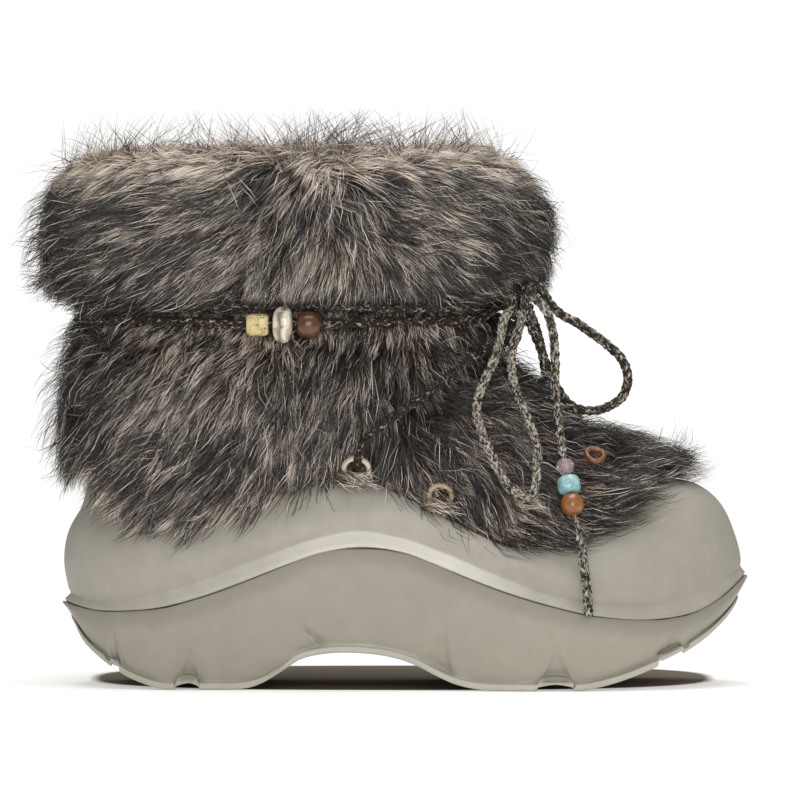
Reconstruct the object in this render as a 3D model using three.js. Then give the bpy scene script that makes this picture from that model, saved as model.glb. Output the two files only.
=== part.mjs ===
// A right snow boot: a thick moulded foam sole, a moulded foam shell over the foot, a deep faux-fur
// upper, and a braided lace with beads and eyelet rings. Millimetres, +Z up, toe towards +X, the
// outer (lateral) side towards -Y. The forms are lofted from rings: point i of every ring lies at the
// same turn, 0 at the toe, a quarter on the inner side, a half at the heel.
import * as THREE from 'three';

// ---------- driving dimensions ----------
const GAP = 0.3; // between two curved pieces that meet
const JOINT_GAP = 0.8; // between shell and sole, whose facets bridge the joint line differently
const ORIGIN = { x: -4.65, y: -0.25 }; // middle of the boot's box, in the last's own frame
const HEEL_TIP = -142.6; // rear end of the sole, in the last's frame
const TOE_TIP = 143.5; // front end of the sole
const RIM = 8; // width of the sole's rim that carries the shell
const SHELL_WALL = 4.6; // thickness of the moulded shell
const BAND_STANDS_OUT = 1.2; // how far the shell's foot stands past the sole
const BAND_SLOPE = 2.8; // how far the band leans in, from its foot to its top
const TUCK = 9; // depth that the fur upper reaches down inside the shell
const BACKING = 6; // wall of the upper where it is tucked in
const CORD = 4.4; // braided lace
const THREAD = 2; // thin cord that carries the end beads
const INSOLE = 4;

// ---------- tables ----------
// Half widths of the sole at its rim, from a middle line that bends to the inner side at the toe.
const PLAN = [
  { x: -150, lateral: 43, medial: 42, middle: 0 },
  { x: -95, lateral: 46, medial: 44, middle: 0 },
  { x: -50, lateral: 45, medial: 40, middle: 0 },
  { x: -15, lateral: 47, medial: 39, middle: 0 },
  { x: 20, lateral: 53, medial: 44, middle: 0.5 },
  { x: 55, lateral: 58, medial: 50, middle: 1.5 },
  { x: 90, lateral: 58, medial: 51, middle: 3 },
  { x: 150, lateral: 52, medial: 49, middle: 6 },
];
// Underside from heel to toe, as a line along the sole before the grooves are cut.
const UNDERSIDE = [
  { x: -143, z: 33.5 }, { x: -138, z: 25.5 }, { x: -134, z: 18 }, { x: -129, z: 13.6 },
  { x: -121, z: 8.4 }, { x: -110.5, z: 2.5 }, { x: -101, z: 0 }, { x: -68, z: 0 },
  { x: -59, z: 1.4 }, { x: -52, z: 4.6 }, { x: -46, z: 11 }, { x: -41, z: 13.6 },
  { x: -18, z: 15.9 }, { x: 0, z: 12.7 }, { x: 11.5, z: 6.8 }, { x: 19, z: 3.3 },
  { x: 28, z: 0.7 }, { x: 35, z: 0 }, { x: 74, z: 0 }, { x: 86, z: 2.1 }, { x: 99, z: 6.7 },
  { x: 120, z: 16.6 }, { x: 132, z: 25 }, { x: 139, z: 33 }, { x: 144, z: 43 },
];
// Grooves across the underside, between the lugs.
const GROOVES = [
  { from: -124.5, to: -120.5, depth: 2.4 },
  { from: -95.4, to: -85.4, depth: 4.2 },
  { from: 55.3, to: 70.7, depth: 4.4 },
  { from: 107.5, to: 118.5, depth: 2.6 },
];
// Triangular facets pressed into the side wall over the grooves and at both ends of the arch.
const FACETS = [
  { from: -98, at: -88, to: -82, top: 21, depth: 3 },
  { from: -47, at: -38, to: -33, top: 29, depth: 2.6 },
  { from: 4, at: 18, to: 21, top: 31, depth: 3 },
  { from: 53, at: 63, to: 73, top: 22, depth: 3 },
  { from: 106, at: 110.5, to: 120, top: 27, depth: 3 },
];
// Joint line between sole and shell, and the top of the band at the shell's foot.
const SEAM = [
  { x: -143, joint: 34.5, band: 38.6 }, { x: -127, joint: 31.6, band: 36.2 },
  { x: -105, joint: 32.8, band: 39.6 }, { x: -85, joint: 37.8, band: 45.3 },
  { x: -52, joint: 50.2, band: 57.8 }, { x: -35, joint: 56.8, band: 63.3 },
  { x: -18, joint: 59.4, band: 65.9 }, { x: -2, joint: 57.6, band: 63.3 },
  { x: 16, joint: 50.6, band: 57.4 }, { x: 40, joint: 41, band: 47.4 },
  { x: 65, joint: 33.6, band: 38.6 }, { x: 86, joint: 29.3, band: 35.4 },
  { x: 103, joint: 28.5, band: 35 }, { x: 116, joint: 29.8, band: 37 },
  { x: 128, joint: 33.9, band: 41 }, { x: 138, joint: 40.6, band: 47 },
  { x: 144, joint: 46, band: 50.5 },
];
// Footbed: the sole's top inside the shell.
const FOOTBED = [
  { x: -145, z: 41 }, { x: -95, z: 40 }, { x: -40, z: 42 }, { x: 10, z: 33 },
  { x: 55, z: 24 }, { x: 95, z: 24 }, { x: 145, z: 30 },
];
// Side wall of the sole: part of the height above the lip, and how far it stands in from the rim.
const SOLE_WALL = [
  { part: 0, inset: 5.4 }, { part: 0.22, inset: 2.6 }, { part: 0.45, inset: 0.8 },
  { part: 0.72, inset: 0.2 }, { part: 0.93, inset: 0.7 },
];
const LIP = { height: 3.4, inset: 3.4, bevel: 0.8 };
const TREAD_ENDS = [-69, 36]; // front end of the heel's flat tread, rear end of the forefoot's
// Edge of the shell's throat seen from the side: it dips at the rear, peaks at the arch, dips at the ball.
const THROAT = [
  { x: -134, z: 92 }, { x: -120, z: 84 }, { x: -104, z: 73 }, { x: -88, z: 69.5 },
  { x: -69, z: 74 }, { x: -52, z: 81 }, { x: -36, z: 87 }, { x: -22, z: 89.2 }, { x: -9, z: 84.6 },
  { x: 9, z: 75.6 }, { x: 21, z: 67.8 }, { x: 34, z: 61.8 }, { x: 48, z: 59.6 },
  { x: 62, z: 59.8 }, { x: 71, z: 62.2 }, { x: 80, z: 67 }, { x: 90, z: 75.6 },
  { x: 99, z: 84 }, { x: 106, z: 86 },
];
const THROAT_PLAN = [
  { x: -140, lateral: 36, medial: 35, middle: 0 }, { x: -95, lateral: 38, medial: 36, middle: 0 },
  { x: -50, lateral: 37, medial: 33, middle: 0 }, { x: -15, lateral: 39, medial: 32, middle: 0 },
  { x: 20, lateral: 44, medial: 37, middle: 1 }, { x: 55, lateral: 48, medial: 42, middle: 3 },
  { x: 110, lateral: 44, medial: 41, middle: 6 },
];
const THROAT_ENDS = { heel: -133, toe: 105.8 };
// Wall of the shell from the band to the throat: how far up, and how far in towards the throat's edge.
const SHELL_SECTION = [
  { heelUp: 0.14, heelIn: -0.24, sideUp: 0.16, sideIn: -0.16, toeUp: 0.13, toeIn: 0.01 },
  { heelUp: 0.27, heelIn: -0.3, sideUp: 0.34, sideIn: -0.16, toeUp: 0.3, toeIn: 0.06 },
  { heelUp: 0.39, heelIn: -0.2, sideUp: 0.52, sideIn: 0, toeUp: 0.48, toeIn: 0.12 },
  { heelUp: 0.5, heelIn: 0, sideUp: 0.7, sideIn: 0.25, toeUp: 0.66, toeIn: 0.2 },
  { heelUp: 0.6, heelIn: 0.4, sideUp: 0.84, sideIn: 0.52, toeUp: 0.82, toeIn: 0.33 },
  { heelUp: 0.69, heelIn: 0.8, sideUp: 0.93, sideIn: 0.76, toeUp: 0.94, toeIn: 0.5 },
  { heelUp: 0.84, heelIn: 0.94, sideUp: 0.98, sideIn: 0.9, toeUp: 1.01, toeIn: 0.72 },
  { heelUp: 1, heelIn: 1, sideUp: 1, sideIn: 1, toeUp: 1, toeIn: 1 },
];
// Rings of the fur upper above the shell: the ends along X, the heights at five turns from the toe
// to the heel, and the half widths at three.
const furRow = ([back, front, toe, ball, side, rear, heel, wBall, wSide, wRear]) => (
  { back, front, toe, ball, side, rear, heel, wBall, wSide, wRear });
const FUR_OUTSIDE = [
  [-147.5, 110, 93, 77, 100, 93, 102, 57, 49, 49],
  [-147.8, 103.5, 100.8, 90, 111, 109, 115, 50, 54, 56],
  [-146.5, 85, 104, 104, 123, 124, 127, 46, 58, 60],
  [-144, 63, 111.5, 120, 134, 136, 137, 49, 60, 60],
  [-140.5, 49, 130, 136, 143, 144, 145, 51, 59, 57],
  [-136, 41.5, 147, 148, 149, 149, 149, 50, 55, 53],
  [-133, 38.5, 152, 152, 152, 152, 152, 48, 52, 50],
  [-133, 38.5, 161.5, 161.5, 161.5, 161.5, 161.5, 48, 52, 50],
  [-137.5, 43, 165.5, 165.5, 165.5, 165.5, 165.5, 52, 56, 54],
  [-152, 57, 172, 172, 172, 171, 170, 59, 63, 61],
  [-154, 60.5, 186, 186, 186, 186, 185, 61, 65, 63],
  [-151, 56.5, 203, 203, 204, 204, 203, 59, 63, 61],
  [-145, 48, 217, 218, 219, 218, 217, 54, 58, 56],
  [-135, 37, 226, 227, 228, 227, 225, 46, 50, 48],
].map(furRow);
const FUR_INSIDE = [
  [-123, 27, 225, 226, 226, 225, 224, 33, 40, 38],
  [-117, 22, 212, 212, 212, 212, 212, 29, 35, 33],
  [-116, 20, 186, 186, 186, 186, 186, 28, 34, 32],
  [-111, 14, 158, 157, 156, 156, 156, 26, 32, 30],
  [-114, 22, 134, 134, 134, 134, 134, 27, 32, 31],
  [-119, 48, 104, 108, 113, 116, 118, 27, 32, 32],
  [-122, 80, 85, 86, 99, 100, 106, 29, 33, 33],
].map(furRow);

// ---------- helpers ----------
const clamp01 = (t) => Math.min(Math.max(t, 0), 1);
const smooth = (t) => clamp01(t) ** 2 * (3 - 2 * clamp01(t));
const mix = (a, b, t) => a + (b - a) * t;

// Value of one column of a table at x, on a curve through its rows that never overshoots.
function read(table, column, x) {
  const last = table.length - 1;
  if (x <= table[0].x) return table[0][column];
  if (x >= table[last].x) return table[last][column];
  const slope = (k) => {
    const rise = table[k + 1][column] - table[k][column];
    return rise / (table[k + 1].x - table[k].x);
  };
  const tangent = (k) => {
    if (k === 0) return slope(0);
    if (k === last) return slope(last - 1);
    const before = slope(k - 1);
    const after = slope(k);
    return before * after <= 0 ? 0 : (2 * before * after) / (before + after);
  };
  let k = 0;
  while (x > table[k + 1].x) k += 1;
  const width = table[k + 1].x - table[k].x;
  const t = (x - table[k].x) / width;
  const [a, b] = [table[k][column], table[k + 1][column]];
  const lift = t * t * (3 - 2 * t);
  return mix(a, b, lift) + width * t * (1 - t) * ((1 - t) * tangent(k) - t * tangent(k + 1));
}

// Round end of an outline: 0 at its tip, 1 from `reach` on.
function roundEnd(distance, reach, power) {
  const u = clamp01(distance / reach);
  return (1 - (1 - u) ** power) ** (1 / power);
}

// Outline of a plan at station x: y on the lateral (side -1) or medial (side 1) edge.
function outlineY(plan, ends, x, side) {
  const round = roundEnd(x - ends.heel, ends.heelRound, 2.3) * roundEnd(ends.toe - x, ends.toeRound, 2.2);
  const half = read(plan, side < 0 ? 'lateral' : 'medial', x);
  return read(plan, 'middle', x) + side * half * round;
}

// Outward direction, in plan, at every point of a closed ring that runs anticlockwise from above.
function outward(ring) {
  return ring.map((_, i) => {
    const before = ring[(i + ring.length - 1) % ring.length];
    const after = ring[(i + 1) % ring.length];
    return new THREE.Vector2(after.y - before.y, before.x - after.x).normalize();
  });
}

const shifted = (ring, normals, amount, height) => ring.map((p, i) => new THREE.Vector3(
  p.x + normals[i].x * amount, p.y + normals[i].y * amount, height(p, i)));

// Closed surface over rings of equal length. With `loop` the last ring joins the first; otherwise the
// two ends are closed by strips between point i and its partner across the ring.
function loft(rings, loop) {
  const count = rings[0].length;
  const position = rings.flat().flatMap((p) => [p.x, p.y, p.z]);
  const index = [];
  const quad = (a, b, c, d) => index.push(a, b, c, a, c, d);
  const spans = loop ? rings.length : rings.length - 1;
  for (let r = 0; r < spans; r += 1) {
    const low = r * count;
    const high = ((r + 1) % rings.length) * count;
    for (let i = 0; i < count; i += 1) {
      const next = (i + 1) % count;
      quad(low + i, low + next, high + next, high + i);
    }
  }
  if (!loop) {
    const fan = (corners) => corners.slice(2).forEach((_, k) => {
      index.push(corners[0], corners[k + 1], corners[k + 2]);
    });
    const top = (rings.length - 1) * count;
    for (let i = 0; i < count / 2; i += 1) {
      const strip = [...new Set([i, i + 1, count - i - 1, (count - i) % count])];
      fan([...strip].reverse());
      fan(strip.map((k) => top + k));
    }
  }
  const geometry = new THREE.BufferGeometry();
  geometry.setAttribute('position', new THREE.Float32BufferAttribute(position, 3));
  geometry.setIndex(index);
  return geometry;
}

const boot = new THREE.Group();
function piece(name, geometry, finish) {
  const mesh = new THREE.Mesh(geometry, finish);
  mesh.name = name;
  boot.add(mesh);
  return mesh;
}
const finish = (color, roughness) => new THREE.MeshStandardMaterial({ color, roughness, metalness: 0 });
const FOAM = finish(0xa7a296, 0.55);
const FUR = finish(0x82766a, 0.95);
const FELT = finish(0x8f8576, 0.9);
const BRAID = finish(0x4a4038, 0.7);

// ---------- sole ----------
const SOLE_ENDS = { heel: HEEL_TIP, toe: TOE_TIP, heelRound: 58, toeRound: 84 };

// Height of the underside at x; the grooves run straight across, so they go by the station.
function undersideAt(x, station) {
  const groove = GROOVES.find((g) => station > g.from && station < g.to);
  if (!groove) return read(UNDERSIDE, 'z', x);
  const across = (2 * (station - groove.from)) / (groove.to - groove.from) - 1;
  return read(UNDERSIDE, 'z', x) + groove.depth * (1 - 0.35 * across ** 2);
}

// Stations along the sole: even turns, with a pair at every groove's edge and one at every facet's.
function soleStations() {
  const turns = Array.from({ length: 26 }, (_, k) => Math.cos((Math.PI * k) / 25));
  const even = turns.map((c) => mix(TOE_TIP, HEEL_TIP, (1 - c) / 2));
  const edges = GROOVES.flatMap((g) => [g.from - 0.3, g.from + 0.3, g.to - 0.3, g.to + 0.3]);
  const clearOf = (list, space) => (x) => list.every((e) => Math.abs(e - x) > space);
  const corners = FACETS.flatMap((f) => [f.from, f.at, f.to]).filter(clearOf(edges, 2));
  const fixed = [...edges, ...corners, ...TREAD_ENDS.filter(clearOf(corners, 1))];
  return [...even.filter(clearOf(fixed, 2.5)), ...fixed].sort((a, b) => b - a);
}

function ringAt(stations, plan, ends) {
  const inner = stations.map((x) => new THREE.Vector3(x, outlineY(plan, ends, x, 1), 0));
  const back = stations.slice(1, -1).reverse();
  const outer = back.map((x) => new THREE.Vector3(x, outlineY(plan, ends, x, -1), 0));
  return [...inner, ...outer];
}

function facetDepth(x, z, bottom) {
  const facet = FACETS.find((f) => x > f.from && x < f.to && z < f.top);
  if (!facet) return 0;
  const near = x < facet.at ? facet.from : facet.to;
  const along = (x - near) / (facet.at - near);
  return facet.depth * Math.min(along, 1) * clamp01((facet.top - z) / (facet.top - bottom));
}

function makeSole() {
  const base = ringAt(soleStations(), PLAN, SOLE_ENDS);
  const out = outward(base);
  const joint = (p) => read(SEAM, 'joint', p.x);
  const lipTop = (p, low) => low + Math.min(LIP.height, 0.4 * (joint(p) - low));
  const rings = [];
  const addRing = (inset, height) => rings.push(base.map((p, i) => {
    const x = p.x - out[i].x * inset;
    const low = undersideAt(x, p.x);
    const z = height(p, low);
    const cut = inset < LIP.inset - 0.1 || inset > LIP.inset + LIP.bevel + 0.1 ? facetDepth(p.x, z, low) : 0;
    return new THREE.Vector3(x - out[i].x * cut, p.y - out[i].y * (inset + cut), z);
  }));
  addRing(LIP.inset + LIP.bevel, (p, low) => low);
  addRing(LIP.inset, (p, low) => low + Math.min(LIP.bevel, 0.1 * (joint(p) - low)));
  addRing(LIP.inset, (p, low) => lipTop(p, low) - Math.min(LIP.bevel, 0.1 * (joint(p) - low)));
  SOLE_WALL.forEach((row) => addRing(row.inset, (p, low) => mix(lipTop(p, low), joint(p), row.part)));
  addRing(1.2, (p) => joint(p));
  addRing(RIM + 0.6, (p) => joint(p));
  addRing(RIM + 4, (p) => read(FOOTBED, 'z', p.x));
  piece('sole', loft(rings, false), FOAM);
}

// ---------- shell ----------
const TURNS = 56;
const turnCos = (i) => Math.cos((2 * Math.PI * i) / TURNS);
const THROAT_OUTLINE = { heel: THROAT_ENDS.heel, toe: THROAT_ENDS.toe, heelRound: 62, toeRound: 78 };

function evenRing(plan, ends) {
  return Array.from({ length: TURNS }, (_, i) => {
    const x = mix(ends.heel, ends.toe, (1 + turnCos(i)) / 2);
    const side = i <= TURNS / 2 ? 1 : -1;
    return new THREE.Vector3(x, outlineY(plan, ends, x, side), 0);
  });
}
const baseRing = evenRing(PLAN, SOLE_ENDS);
const baseOut = outward(baseRing);
const throatRing = evenRing(THROAT_PLAN, THROAT_OUTLINE).map((p) => p.setZ(read(THROAT, 'z', p.x)));
const throatOut = outward(throatRing);

function shellOutside() {
  const low = (p) => read(SEAM, 'joint', p.x) + JOINT_GAP;
  const high = (p) => read(SEAM, 'band', p.x);
  const foot = shifted(baseRing, baseOut, BAND_STANDS_OUT - 1, low);
  const lipOfBand = shifted(baseRing, baseOut, BAND_STANDS_OUT, (p) => low(p) + 0.8);
  const bandTop = shifted(baseRing, baseOut, BAND_STANDS_OUT - BAND_SLOPE, high);
  const valley = shifted(baseRing, baseOut, BAND_STANDS_OUT - BAND_SLOPE - 0.3, (p) => high(p) + 1.4);
  const walls = SHELL_SECTION.map((row) => valley.map((start, i) => {
    const edge = throatRing[i];
    const toe = smooth((turnCos(i) - 0.45) / 0.5);
    const heel = smooth((-turnCos(i) - 0.55) / 0.4);
    const side = 1 - toe - heel;
    const up = toe * row.toeUp + heel * row.heelUp + side * row.sideUp;
    const inwards = toe * row.toeIn + heel * row.heelIn + side * row.sideIn;
    return new THREE.Vector3(
      mix(start.x, edge.x, inwards), mix(start.y, edge.y, inwards), mix(start.z, edge.z, up));
  }));
  return [foot, lipOfBand, bandTop, valley, ...walls];
}

// Direction out of a grid of rings at ring r, point i.
function gridNormal(rings, r, i) {
  const count = rings[r].length;
  const up = new THREE.Vector3().subVectors(rings[Math.min(r + 1, rings.length - 1)][i], rings[r - 1][i]);
  const round = new THREE.Vector3().subVectors(rings[r][(i + 1) % count], rings[r][(i + count - 1) % count]);
  return round.cross(up).normalize();
}

function makeShell() {
  const outside = shellOutside();
  const inside = [];
  for (let r = outside.length - 2; r > 4; r -= 2) {
    inside.push(outside[r].map((p, i) => p.clone().addScaledVector(gridNormal(outside, r, i), -SHELL_WALL)));
  }
  const lip = throatRing.map((p, i) => new THREE.Vector3(
    p.x - throatOut[i].x * (SHELL_WALL - 0.8), p.y - throatOut[i].y * (SHELL_WALL - 0.8), p.z - 0.2));
  const innerFoot = shifted(baseRing, baseOut, -RIM + 0.6, (p) => read(SEAM, 'joint', p.x) + JOINT_GAP);
  const innerLow = shifted(baseRing, baseOut, -RIM + 1.2, (p) => read(SEAM, 'band', p.x) + 1);
  piece('shell', loft([...outside, lip, ...inside, innerLow, innerFoot], true), FOAM);
}

// ---------- fur upper ----------
// Place on one row's ring at an angle from the toe: half widths and heights are blended by the angle.
const FUR_TURNS = [0, 0.25, 0.5, 0.75, 1];
function furPoint(row, angle) {
  const turn = Math.acos(Math.cos(angle)) / Math.PI;
  const side = Math.sin(angle) < 0 ? -1 : 1;
  const byTurn = (values) => FUR_TURNS.map((x, k) => ({ x, v: values[k] }));
  const heights = byTurn([row.toe, row.ball, row.side, row.rear, row.heel]);
  const widths = byTurn([row.wBall, row.wBall, row.wSide, row.wRear, row.wRear]);
  const x = mix(row.back, row.front, (1 + Math.cos(angle)) / 2);
  const reach = read(widths, 'v', turn) * Math.sin(Math.PI * turn) ** 0.82;
  return new THREE.Vector3(x, side * reach + read(THROAT_PLAN, 'middle', x) * 0.6, read(heights, 'v', turn));
}
const furRing = (row) => Array.from({ length: TURNS }, (_, i) => furPoint(row, (2 * Math.PI * i) / TURNS));

function makeUpper() {
  const inset = SHELL_WALL - 0.8 + 2 * GAP;
  const mouth = shifted(throatRing, throatOut, -inset, (p) => p.z - TUCK);
  const atEdge = shifted(throatRing, throatOut, -inset, (p) => p.z + GAP);
  const over = throatRing.map((p, i) => {
    const hang = mix(0.5, 5.5, smooth((-30 - p.x) / 50));
    return new THREE.Vector3(p.x + throatOut[i].x * hang, p.y + throatOut[i].y * hang, p.z + 3.2);
  });
  const liningLow = shifted(throatRing, throatOut, -inset - BACKING, (p) => p.z - TUCK);
  const liningTop = shifted(throatRing, throatOut, -inset - BACKING - 2, (p) => p.z + 2);
  const rings = [
    mouth, atEdge, over, ...FUR_OUTSIDE.map((row) => furRing(row)), ...FUR_INSIDE.map((row) => furRing(row)),
    liningTop, liningLow,
  ];
  piece('fur_upper', loft(rings, true), FUR);
}

// ---------- insole ----------
function makeInsole() {
  const inset = RIM + 4.6;
  const low = shifted(baseRing, baseOut, -inset, (p) => read(FOOTBED, 'z', p.x) + 2 * GAP);
  const high = low.map((p) => p.clone().setZ(p.z + INSOLE));
  piece('insole', loft([low, high], false), FELT);
}

// ---------- lace ----------
const WAIST = FUR_OUTSIDE[6]; // the row of the upper that the lace is wound on
const WRAP = { start: -30, end: -734, upper: 158.9, lower: 153.3, out: 3, dropFrom: -373, dropTo: -391 };
// Stretch of the wrap that carries the beads.
const BEADED = { x: -50, flat: 18, ramp: 22, out: 5.6, drop: 0.9, lift: 1.2 };
const KNOT = { x: 46.5, y: -24, z: 160.5, rx: 6.8, ry: 6.5, rz: 8.2 };
const at = (...points) => points.map(([x, y, z]) => new THREE.Vector3(x, y, z));

// The lace from the front, twice round the waist by the outer side; angles run down in degrees.
function wrapPoint(degrees) {
  const angle = THREE.MathUtils.degToRad(degrees);
  const here = furPoint(WAIST, angle);
  const step = new THREE.Vector3().subVectors(furPoint(WAIST, angle + 0.01), furPoint(WAIST, angle - 0.01));
  const out = new THREE.Vector3(step.y, -step.x, 0).normalize();
  const drop = smooth((WRAP.dropFrom - degrees) / (WRAP.dropFrom - WRAP.dropTo));
  const lateral = Math.sin(angle) < 0 ? 1 : 0;
  const beads = lateral * smooth((BEADED.flat + BEADED.ramp - Math.abs(here.x - BEADED.x)) / BEADED.ramp);
  const lowerStrand = drop === 1 ? beads : 0;
  const upperStrand = drop === 0 ? beads : 0;
  const z = mix(WRAP.upper, WRAP.lower, drop) + BEADED.lift * upperStrand - BEADED.drop * lowerStrand;
  return here.setZ(z).addScaledVector(out, WRAP.out + BEADED.out * lowerStrand);
}

function cordAlong(name, points, steps, diameter = CORD) {
  const section = new THREE.Shape(Array.from({ length: 8 }, (_, k) => new THREE.Vector2(
    (diameter / 2) * Math.cos((Math.PI * k) / 4), (diameter / 2) * Math.sin((Math.PI * k) / 4))));
  const path = new THREE.CatmullRomCurve3(points, false, 'centripetal');
  piece(name, new THREE.ExtrudeGeometry(section, { steps, extrudePath: path, bevelEnabled: false }), BRAID);
}

// Sets a bead on the lace: its own Z axis follows the lace, and its own Y axis stays as upright as it can.
function setBead(name, geometry, place, along, look) {
  const mesh = piece(name, geometry, look);
  const side = new THREE.Vector3().crossVectors(along, new THREE.Vector3(0, 0, 1)).normalize();
  const upright = new THREE.Vector3().crossVectors(side, along).normalize();
  mesh.setRotationFromMatrix(new THREE.Matrix4().makeBasis(upright, side, along.clone().normalize()));
  mesh.position.copy(place);
}

// Round bead with a bore: a barrel whose widest ring is in the middle.
function roundBead(wide, long, bore, turns) {
  const reach = Math.acos((2 * bore + 0.8) / wide);
  const outside = [-1, -0.5, 0, 0.5, 1].map((part) => new THREE.Vector2(
    (wide / 2) * Math.cos(part * reach), ((long / 2) * Math.sin(part * reach)) / Math.sin(reach)));
  const low = new THREE.Vector2(bore, -long / 2);
  const high = new THREE.Vector2(bore, long / 2);
  return new THREE.LatheGeometry([low, ...outside, high, low.clone()], turns).rotateX(Math.PI / 2);
}

// Bead cut from a bar of an even section, drilled along its length.
function barBead(tall, deep, long, bore, corners) {
  const section = new THREE.Shape(Array.from({ length: 20 }, (_, k) => {
    const turn = (Math.PI * (k + 0.5)) / 10;
    const [c, s] = [Math.cos(turn), Math.sin(turn)];
    return new THREE.Vector2(
      (tall / 2) * Math.sign(c) * Math.abs(c) ** corners, (deep / 2) * Math.sign(s) * Math.abs(s) ** corners);
  }));
  const hole = new THREE.Path(Array.from({ length: 12 }, (_, k) => new THREE.Vector2(
    bore * Math.cos((-Math.PI * k) / 6), bore * Math.sin((-Math.PI * k) / 6))));
  section.holes.push(hole);
  return new THREE.ExtrudeGeometry(section, { depth: long, bevelEnabled: false }).translate(0, 0, -long / 2);
}

function makeWrap() {
  const samples = 176;
  const path = Array.from(
    { length: samples + 1 }, (_, k) => wrapPoint(mix(WRAP.start, WRAP.end, k / samples)));
  cordAlong('lace_wrap', path, 76);
  const bore = 3;
  const beads = [
    { name: 'bead_square', x: -59.6, form: barBead(8.8, 8.8, 9, bore, 0.45), look: finish(0xc9b169, 0.45) },
    { name: 'bead_oval', x: -50, form: barBead(15.2, 9, 8.2, bore, 1), look: finish(0xb9b0a2, 0.15) },
    { name: 'bead_wood_wrap', x: -40.3, form: roundBead(10.4, 10, bore, 12), look: finish(0x5e2f1c, 0.25) },
  ];
  beads.forEach(({ name, x, form, look }) => {
    const turn = Math.acos((2 * (x - WAIST.back)) / (WAIST.front - WAIST.back) - 1);
    const degrees = -THREE.MathUtils.radToDeg(turn) - 360;
    const along = new THREE.Vector3().subVectors(wrapPoint(degrees + 1), wrapPoint(degrees - 1));
    setBead(name, form, wrapPoint(degrees), along, look);
  });
}

// From under the knot down each side of the ankle to the side ring.
function makeSideLaces() {
  cordAlong('lace_side_lateral', at(
    [42.5, -26, 147.5], [35, -28.6, 142], [27, -38.3, 137], [18, -45.1, 130], [9.5, -52.5, 124],
    [1.1, -56.5, 117.8], [-7, -57.4, 112.3], [-13, -56.5, 107.5], [-17, -54.4, 102]), 9);
  cordAlong('lace_side_medial', at(
    [47, -6, 146], [46.8, 8, 144.5], [43.6, 22, 143], [36, 31.4, 140.6], [27, 40.4, 136], [18, 46.4, 130],
    [9.5, 52.6, 124], [1.1, 56.6, 117.8], [-7, 57.5, 112.3], [-13, 56.4, 107.5], [-17, 54.6, 102]), 11);
}

function makeRings() {
  const cream = finish(0xd8cfba, 0.35);
  const sand = finish(0xb9a586, 0.4);
  const brown = finish(0x7a4a2e, 0.35);
  const thick = 1.9;
  const pair = (name, outer, [x, z], sides, [fx, fy, fz], look) => {
    Object.entries(sides).forEach(([side, y]) => {
      const form = new THREE.TorusGeometry((outer - thick) / 2, thick / 2, 5, 9);
      const mesh = piece(`${name}_${side}`, form, look);
      const facing = new THREE.Vector3(fx, Math.sign(y) * fy, fz).normalize();
      mesh.quaternion.setFromUnitVectors(new THREE.Vector3(0, 0, 1), facing);
      mesh.position.set(x, y, z);
    });
  };
  pair('ring_side', 12.6, [-19.9, 92.1], { lateral: -47.9, medial: 47.6 }, [0, 0.9, -0.44], cream);
  pair('ring_vamp', 11.4, [15, 81], { lateral: -47.6, medial: 47.8 }, [0, 0.99, -0.14], sand);
  pair('ring_toe', 9.6, [79.5, 97.2], { lateral: -28, medial: 33 }, [0.2, 0.65, 0.73], brown);
}

function makeBow() {
  const knot = piece('knot', new THREE.SphereGeometry(1, 12, 8), BRAID);
  knot.scale.set(KNOT.rx, KNOT.ry, KNOT.rz);
  knot.position.set(KNOT.x, KNOT.y, KNOT.z);
  cordAlong('bow_loop_side', at(
    [51.7, -24.8, 167.2], [54.5, -25.4, 168.4], [58, -26, 165.2], [61, -26.4, 160], [65.5, -26.6, 155.8],
    [72, -26.6, 152.2], [79, -26.4, 147.4], [85.8, -26, 142.2], [90.7, -25, 137], [93.1, -24, 131.5],
    [93.1, -22.5, 126.5], [90.9, -21, 121], [85.8, -19.5, 117.3], [80, -18, 115.4], [74, -16.8, 115.6],
    [68.8, -15.8, 118.2], [64.6, -15.2, 123.5], [61, -15.4, 131], [57.8, -16.2, 139], [54.6, -17.8, 147],
    [51.2, -21, 154]), 20);
  cordAlong('bow_loop_hanging', at(
    [43.8, -30.6, 157.4], [41.6, -34.4, 154.2], [40.4, -36, 148], [37.8, -37, 138], [34.3, -39.4, 130.5],
    [31, -43, 122.5], [30.1, -46, 116.5], [31.5, -48.4, 109.5], [34.4, -49.8, 102.4], [37.7, -51, 95],
    [40.9, -52, 88.5], [44.3, -52.2, 83.6], [48.3, -52, 81.2], [52, -51, 81.4], [54.6, -49, 84.8],
    [54.9, -47, 90], [55.3, -43.6, 97], [54.2, -40, 104.5], [51.3, -37.5, 112.5], [48.5, -35.8, 119.5],
    [45.8, -34, 127], [44.6, -32.2, 134.5], [45.2, -31.2, 142], [47.2, -30.8, 148.6],
    [49, -29.4, 153.2]), 22);
}

// A lace end: cord to the first bead, a thin cord through the beads, and a braided tip.
function beadedEnd(name, route) {
  cordAlong(name, route.cord, route.cordSteps);
  cordAlong(`${name}_thread`, route.thread, route.threadSteps, THREAD);
  cordAlong(`${name}_tip`, route.tip, route.tipSteps);
  route.beads.forEach(({ bead, place, along, wide, long, look }) => {
    setBead(bead, roundBead(wide, long, THREAD / 2 + 0.6, 10), at(place)[0], at(along)[0], look);
  });
}

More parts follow.
